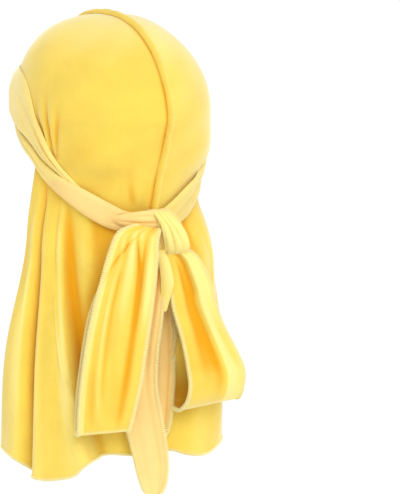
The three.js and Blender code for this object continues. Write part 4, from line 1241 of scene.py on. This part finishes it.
# Sections of the wrapped knot from its top to its foot, in millimetres from the knot's middle.
KNOT = table(
    "k side out rise wide deep",
    (0, -1.5, -2.0, 22.5, 1.0, 1.0), (1, -1.5, -1.0, 21.0, 7.5, 5.0), (2, -2.5, 0.0, 16.0, 11.5, 8.5),
    (3, -4.5, 0.5, 8.0, 14.0, 10.5), (4, -6.0, 0.8, 0.0, 14.5, 11.0), (5, -6.5, 0.5, -8.0, 13.0, 10.0),
    (6, -5.5, 0.0, -14.5, 10.0, 8.0), (7, -4.5, -1.0, -18.5, 5.5, 5.0), (8, -4.0, -1.5, -19.5, 0.8, 0.8),
)
KNOT_LAST = 8
KNOT_ROUND = 120
KNOT_ROWS = 90
KNOT_CRUMPLE = 0.0004
# The knot's mean radius and the height of a section, for the chart of its cloth.
KNOT_RADIUS = 0.014
KNOT_SECTION = 0.005
# Steps and columns of the bands on it.
KNOT_STEPS = 12
KNOT_COLUMNS = 28
# Folds of the knot: along is a section, across a bearing round the knot, and height is in millimetres.
KNOT_FOLDS = [
    crease((0.6, 150, 9, 0), (2, 150, 8, -2.0), (4, 148, 8, -2.6), (6, 150, 8, -1.6), (7.6, 150, 9, 0)),
    crease((0.6, 186, 8, 0), (2, 180, 8, -1.6), (4, 176, 7, -2.2), (6, 172, 8, -1.6), (7.6, 170, 9, 0)),
    crease((0.6, 215, 9, 0), (2, 208, 9, -1.4), (4, 205, 8, -1.8), (6, 198, 9, -1.2), (7.6, 195, 9, 0)),
    crease((0.6, 120, 10, 0), (2, 118, 9, -1.4), (4, 116, 9, -2.0), (6, 120, 10, -1.2), (7.6, 125, 9, 0)),
]
KNOT_BAND = table(
    BOW_COLUMNS,
    (0.06, -0.3, -0.122, 152, 0, 0.22, 0.3), (0.05, 0.05, -0.124, 152, 6, 0.27, 0.8),
    (0.03, 0.33, -0.095, 152, 12, 0.34, 1.2), (-0.04, 0.5, -0.05, 153, 14, 0.39, 1.4),
    (-0.1, 0.53, 0.012, 154, 10, 0.41, 1.3), (-0.15, 0.42, 0.06, 155, 4, 0.39, 1.0),
    (-0.19, 0.16, 0.092, 155, 0, 0.36, 0.6), (-0.21, -0.15, 0.1, 155, 0, 0.32, 0.3),
)
KNOT_BAND_FOLDS = [
    crease((0.4, -0.5, 0.12, 0), (2, -0.45, 0.1, -1.5), (3.2, -0.3, 0.09, -2.2), (4.4, -0.25, 0.1, -1.8),
           (6, -0.2, 0.12, 0)),
    crease((1, 0.1, 0.1, 0), (2.6, 0.15, 0.08, -1.6), (3.8, 0.3, 0.1, -1.2), (5.4, 0.4, 0.14, 0)),
    crease((1, -0.85, 0.16, 0), (3, -0.7, 0.16, 1.2), (5, -0.65, 0.16, 1.2), (7, -0.6, 0.2, 0)),
]
KNOT_BRIDGE = table(
    BOW_COLUMNS,
    (0.78, -0.72, -0.085, 160, 60, 0.1, 0.2), (0.6, -0.4, -0.08, 158, 66, 0.2, 0.5),
    (0.42, -0.18, -0.08, 156, 76, 0.27, 0.8), (0.24, 0.0, -0.082, 154, 88, 0.3, 1.0),
    (0.06, 0.14, -0.083, 152, 96, 0.29, 0.9), (-0.08, 0.12, -0.08, 152, 100, 0.25, 0.5),
)
KNOT_BRIDGE_FOLDS = [
    crease((0.3, 0.2, 0.2, 0), (1.6, 0.25, 0.16, -1.2), (3.2, 0.3, 0.16, -1.6), (4.6, 0.35, 0.2, -0.4)),
    crease((1.5, -0.5, 0.2, 0), (3.0, -0.4, 0.16, -0.9), (4.6, -0.3, 0.2, 0)),
]
KNOT_TWIST = table(
    BOW_COLUMNS,
    (0.1, 0.1, 0.07, 150, 0, 0.14, 0.3), (0.08, 0.3, 0.115, 150, 4, 0.16, 0.5),
    (0.05, 0.36, 0.175, 150, 8, 0.19, 0.6), (0.03, 0.36, 0.235, 150, 0, 0.2, 0.6),
    (0.04, 0.3, 0.29, 150, -8, 0.16, 0.5), (0.07, 0.2, 0.38, 150, -8, 0.1, 0.3),
)
KNOT_TUCK = table(
    BOW_COLUMNS,
    (-0.27, -0.12, 0.085, 155, 0, 0.24, 0.2), (-0.26, -0.05, 0.12, 155, 0, 0.2, 0.4),
    (-0.25, -0.02, 0.17, 155, 6, 0.15, 0.6), (-0.225, -0.04, 0.225, 152, 10, 0.08, 0.6),
)


class DURAG_OT_knot(bpy.types.Operator):
    """Winds the straps over each other in the knot"""
    bl_idname = "durag.knot"
    bl_label = "Knot"

    def execute(self, context):
        s = sizes()
        around = np.linspace(0, 360, KNOT_ROUND, endpoint=False)[:, None]
        k = np.linspace(0, KNOT_LAST, KNOT_ROWS)[None, :]
        side, out, rise, wide, deep = (read(KNOT, "k", k, key) / 1000
                                       for key in ("side", "out", "rise", "wide", "deep"))
        angle = np.radians(around)
        swell = folds(KNOT_FOLDS, k, around) / 1000
        swell = swell + KNOT_CRUMPLE * np.sin(around * 0.23 + k * 1.3) * np.sin(np.pi * k / KNOT_LAST)
        x = BOW_SIDE + side + (wide + swell) * np.sin(angle)
        y = knot_back() + out - (deep + swell) * np.cos(angle)
        points = np.stack([x, y, -s.knot_drop + rise + 0 * angle], -1)
        points[:, [0, -1]] = points[:, [0, -1]].mean(0)
        at = np.arange(KNOT_ROUND * KNOT_ROWS).reshape(KNOT_ROUND, KNOT_ROWS)
        beside = np.roll(at, -1, 0)
        faces = np.stack([at[:, :-1], at[:, 1:], beside[:, 1:], beside[:, :-1]], -1).reshape(-1, 4)
        chart = np.stack([angle * KNOT_RADIUS + 0 * k, k * KNOT_SECTION + 0 * angle], -1).reshape(-1, 2)
        # The wrap and the band take the paler velvet with painted sheen; the wrap's painted shade is plain
        # all over.
        light, plain = two_faced("light_velvet_pile"), two_faced()
        made = piece("knot_wrap", points.reshape(-1, 3), faces, np.zeros(len(faces)), chart, light,
                     np.full(at.size, PLAIN))
        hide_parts("knot")
        knot_ribbon("knot_band", KNOT_BAND, light, listed=KNOT_BAND_FOLDS)
        knot_ribbon("knot_bridge", KNOT_BRIDGE, plain, listed=KNOT_BRIDGE_FOLDS)
        knot_ribbon("knot_twist", KNOT_TWIST, plain)
        knot_ribbon("knot_tuck", KNOT_TUCK, plain)
        return {"FINISHED"}


# Stage

FLOOR_SIZE = 12
FLOOR_LEVEL = -0.55
SURROUND_LIGHT = 0.8
# The camera's place round the durag and above it in degrees, how far off it is, what it looks at, the width
# that it takes in there, its sensor in millimetres and how far it sees.
AZIMUTH = 150
ELEVATION = 8
DISTANCE = 16.0
TARGET = (-0.0643, 0.0371, -0.1986)
VIEW_WIDTH = 0.4232
SENSOR = 36
FARTHEST = 50
# The soft key light: its strength, its width in degrees, and its lean to the camera's right and upwards.
KEY_LIGHT = 1.3
KEY_WIDTH = 40
KEY_RIGHT = 0.3
KEY_UP = 0.55


class DURAG_OT_stage(bpy.types.Operator):
    """Sets the plain floor, the soft studio light and the camera"""
    bl_idname = "durag.stage"
    bl_label = "Stage"

    def execute(self, context):
        scene = context.scene
        shown = tuple(colours().floor)
        bpy.ops.object.select_all(action="DESELECT")
        bpy.ops.mesh.primitive_plane_add(size=FLOOR_SIZE, location=(0, 0, FLOOR_LEVEL))
        floor = context.object
        floor.name = "floor"
        floor.data.materials.append(Finish("floor_white", shown).done(Base_Color=shown, Roughness=0.9,
                                                                      Specular_IOR_Level=0.1))
        world = bpy.data.worlds.new("surround")
        world.use_nodes = True
        light = world.node_tree.nodes["Background"].inputs
        light["Color"].default_value = (1, 1, 1, 1)
        light["Strength"].default_value = SURROUND_LIGHT
        scene.world = world
        scene.view_settings.view_transform = "Standard"
        azimuth, elevation = math.radians(AZIMUTH), math.radians(ELEVATION)
        back = np.array([math.sin(azimuth) * math.cos(elevation), -math.cos(azimuth) * math.cos(elevation),
                         math.sin(elevation)])
        right = np.array([math.cos(azimuth), math.sin(azimuth), 0])
        up = np.cross(back, right)
        camera = bpy.data.objects.new("camera", bpy.data.cameras.new("camera"))
        scene.collection.objects.link(camera)
        camera.data.lens = SENSOR * DISTANCE / VIEW_WIDTH
        camera.data.clip_end = FARTHEST
        place(camera, TARGET + back * DISTANCE, right, up, back)
        scene.camera = camera
        key = bpy.data.objects.new("key", bpy.data.lights.new("key", "SUN"))
        scene.collection.objects.link(key)
        key.data.energy = KEY_LIGHT
        key.data.angle = math.radians(KEY_WIDTH)
        aim = unit(back + right * KEY_RIGHT + up * KEY_UP)
        level = unit(np.cross([0, 0, 1], aim))
        place(key, TARGET + aim * 2, level, np.cross(aim, level), aim)
        return {"FINISHED"}


def place(thing, where, right, up, back):
    """Puts a camera or a light at a place, looking along the opposite of back."""
    axes = [[right[k], up[k], back[k], where[k]] for k in range(3)]
    thing.matrix_world = Matrix(axes + [[0, 0, 0, 1]])


# Panel and registration

STEPS = (DURAG_OT_crown, DURAG_OT_seam, DURAG_OT_straps, DURAG_OT_cape, DURAG_OT_knot, DURAG_OT_bow,
         DURAG_OT_stage)


class DURAG_PT_panel(bpy.types.Panel):
    bl_idname = "DURAG_PT_panel"
    bl_label = "Durag"
    bl_space_type = "VIEW_3D"
    bl_region_type = "UI"
    bl_category = "Durag"

    def draw(self, context):
        for group in (context.scene.durag_sizes, context.scene.durag_colours):
            for key in group.__annotations__:
                self.layout.prop(group, key)
        for step in STEPS:
            self.layout.operator(step.bl_idname)


CLASSES = (DuragSizes, DuragColours, *STEPS, DURAG_PT_panel)


def register():
    for cls in CLASSES:
        bpy.utils.register_class(cls)
    bpy.types.Scene.durag_sizes = PointerProperty(type=DuragSizes)
    bpy.types.Scene.durag_colours = PointerProperty(type=DuragColours)


def unregister():
    del bpy.types.Scene.durag_colours
    del bpy.types.Scene.durag_sizes
    for cls in reversed(CLASSES):
        bpy.utils.unregister_class(cls)


def main():
    register()
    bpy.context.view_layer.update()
    bpy.ops.durag.crown()
    bpy.ops.durag.seam()
    bpy.ops.durag.straps()
    bpy.ops.durag.cape()
    bpy.ops.durag.knot()
    bpy.ops.durag.bow()
    bpy.ops.durag.stage()


if __name__ == "__main__":
    main()
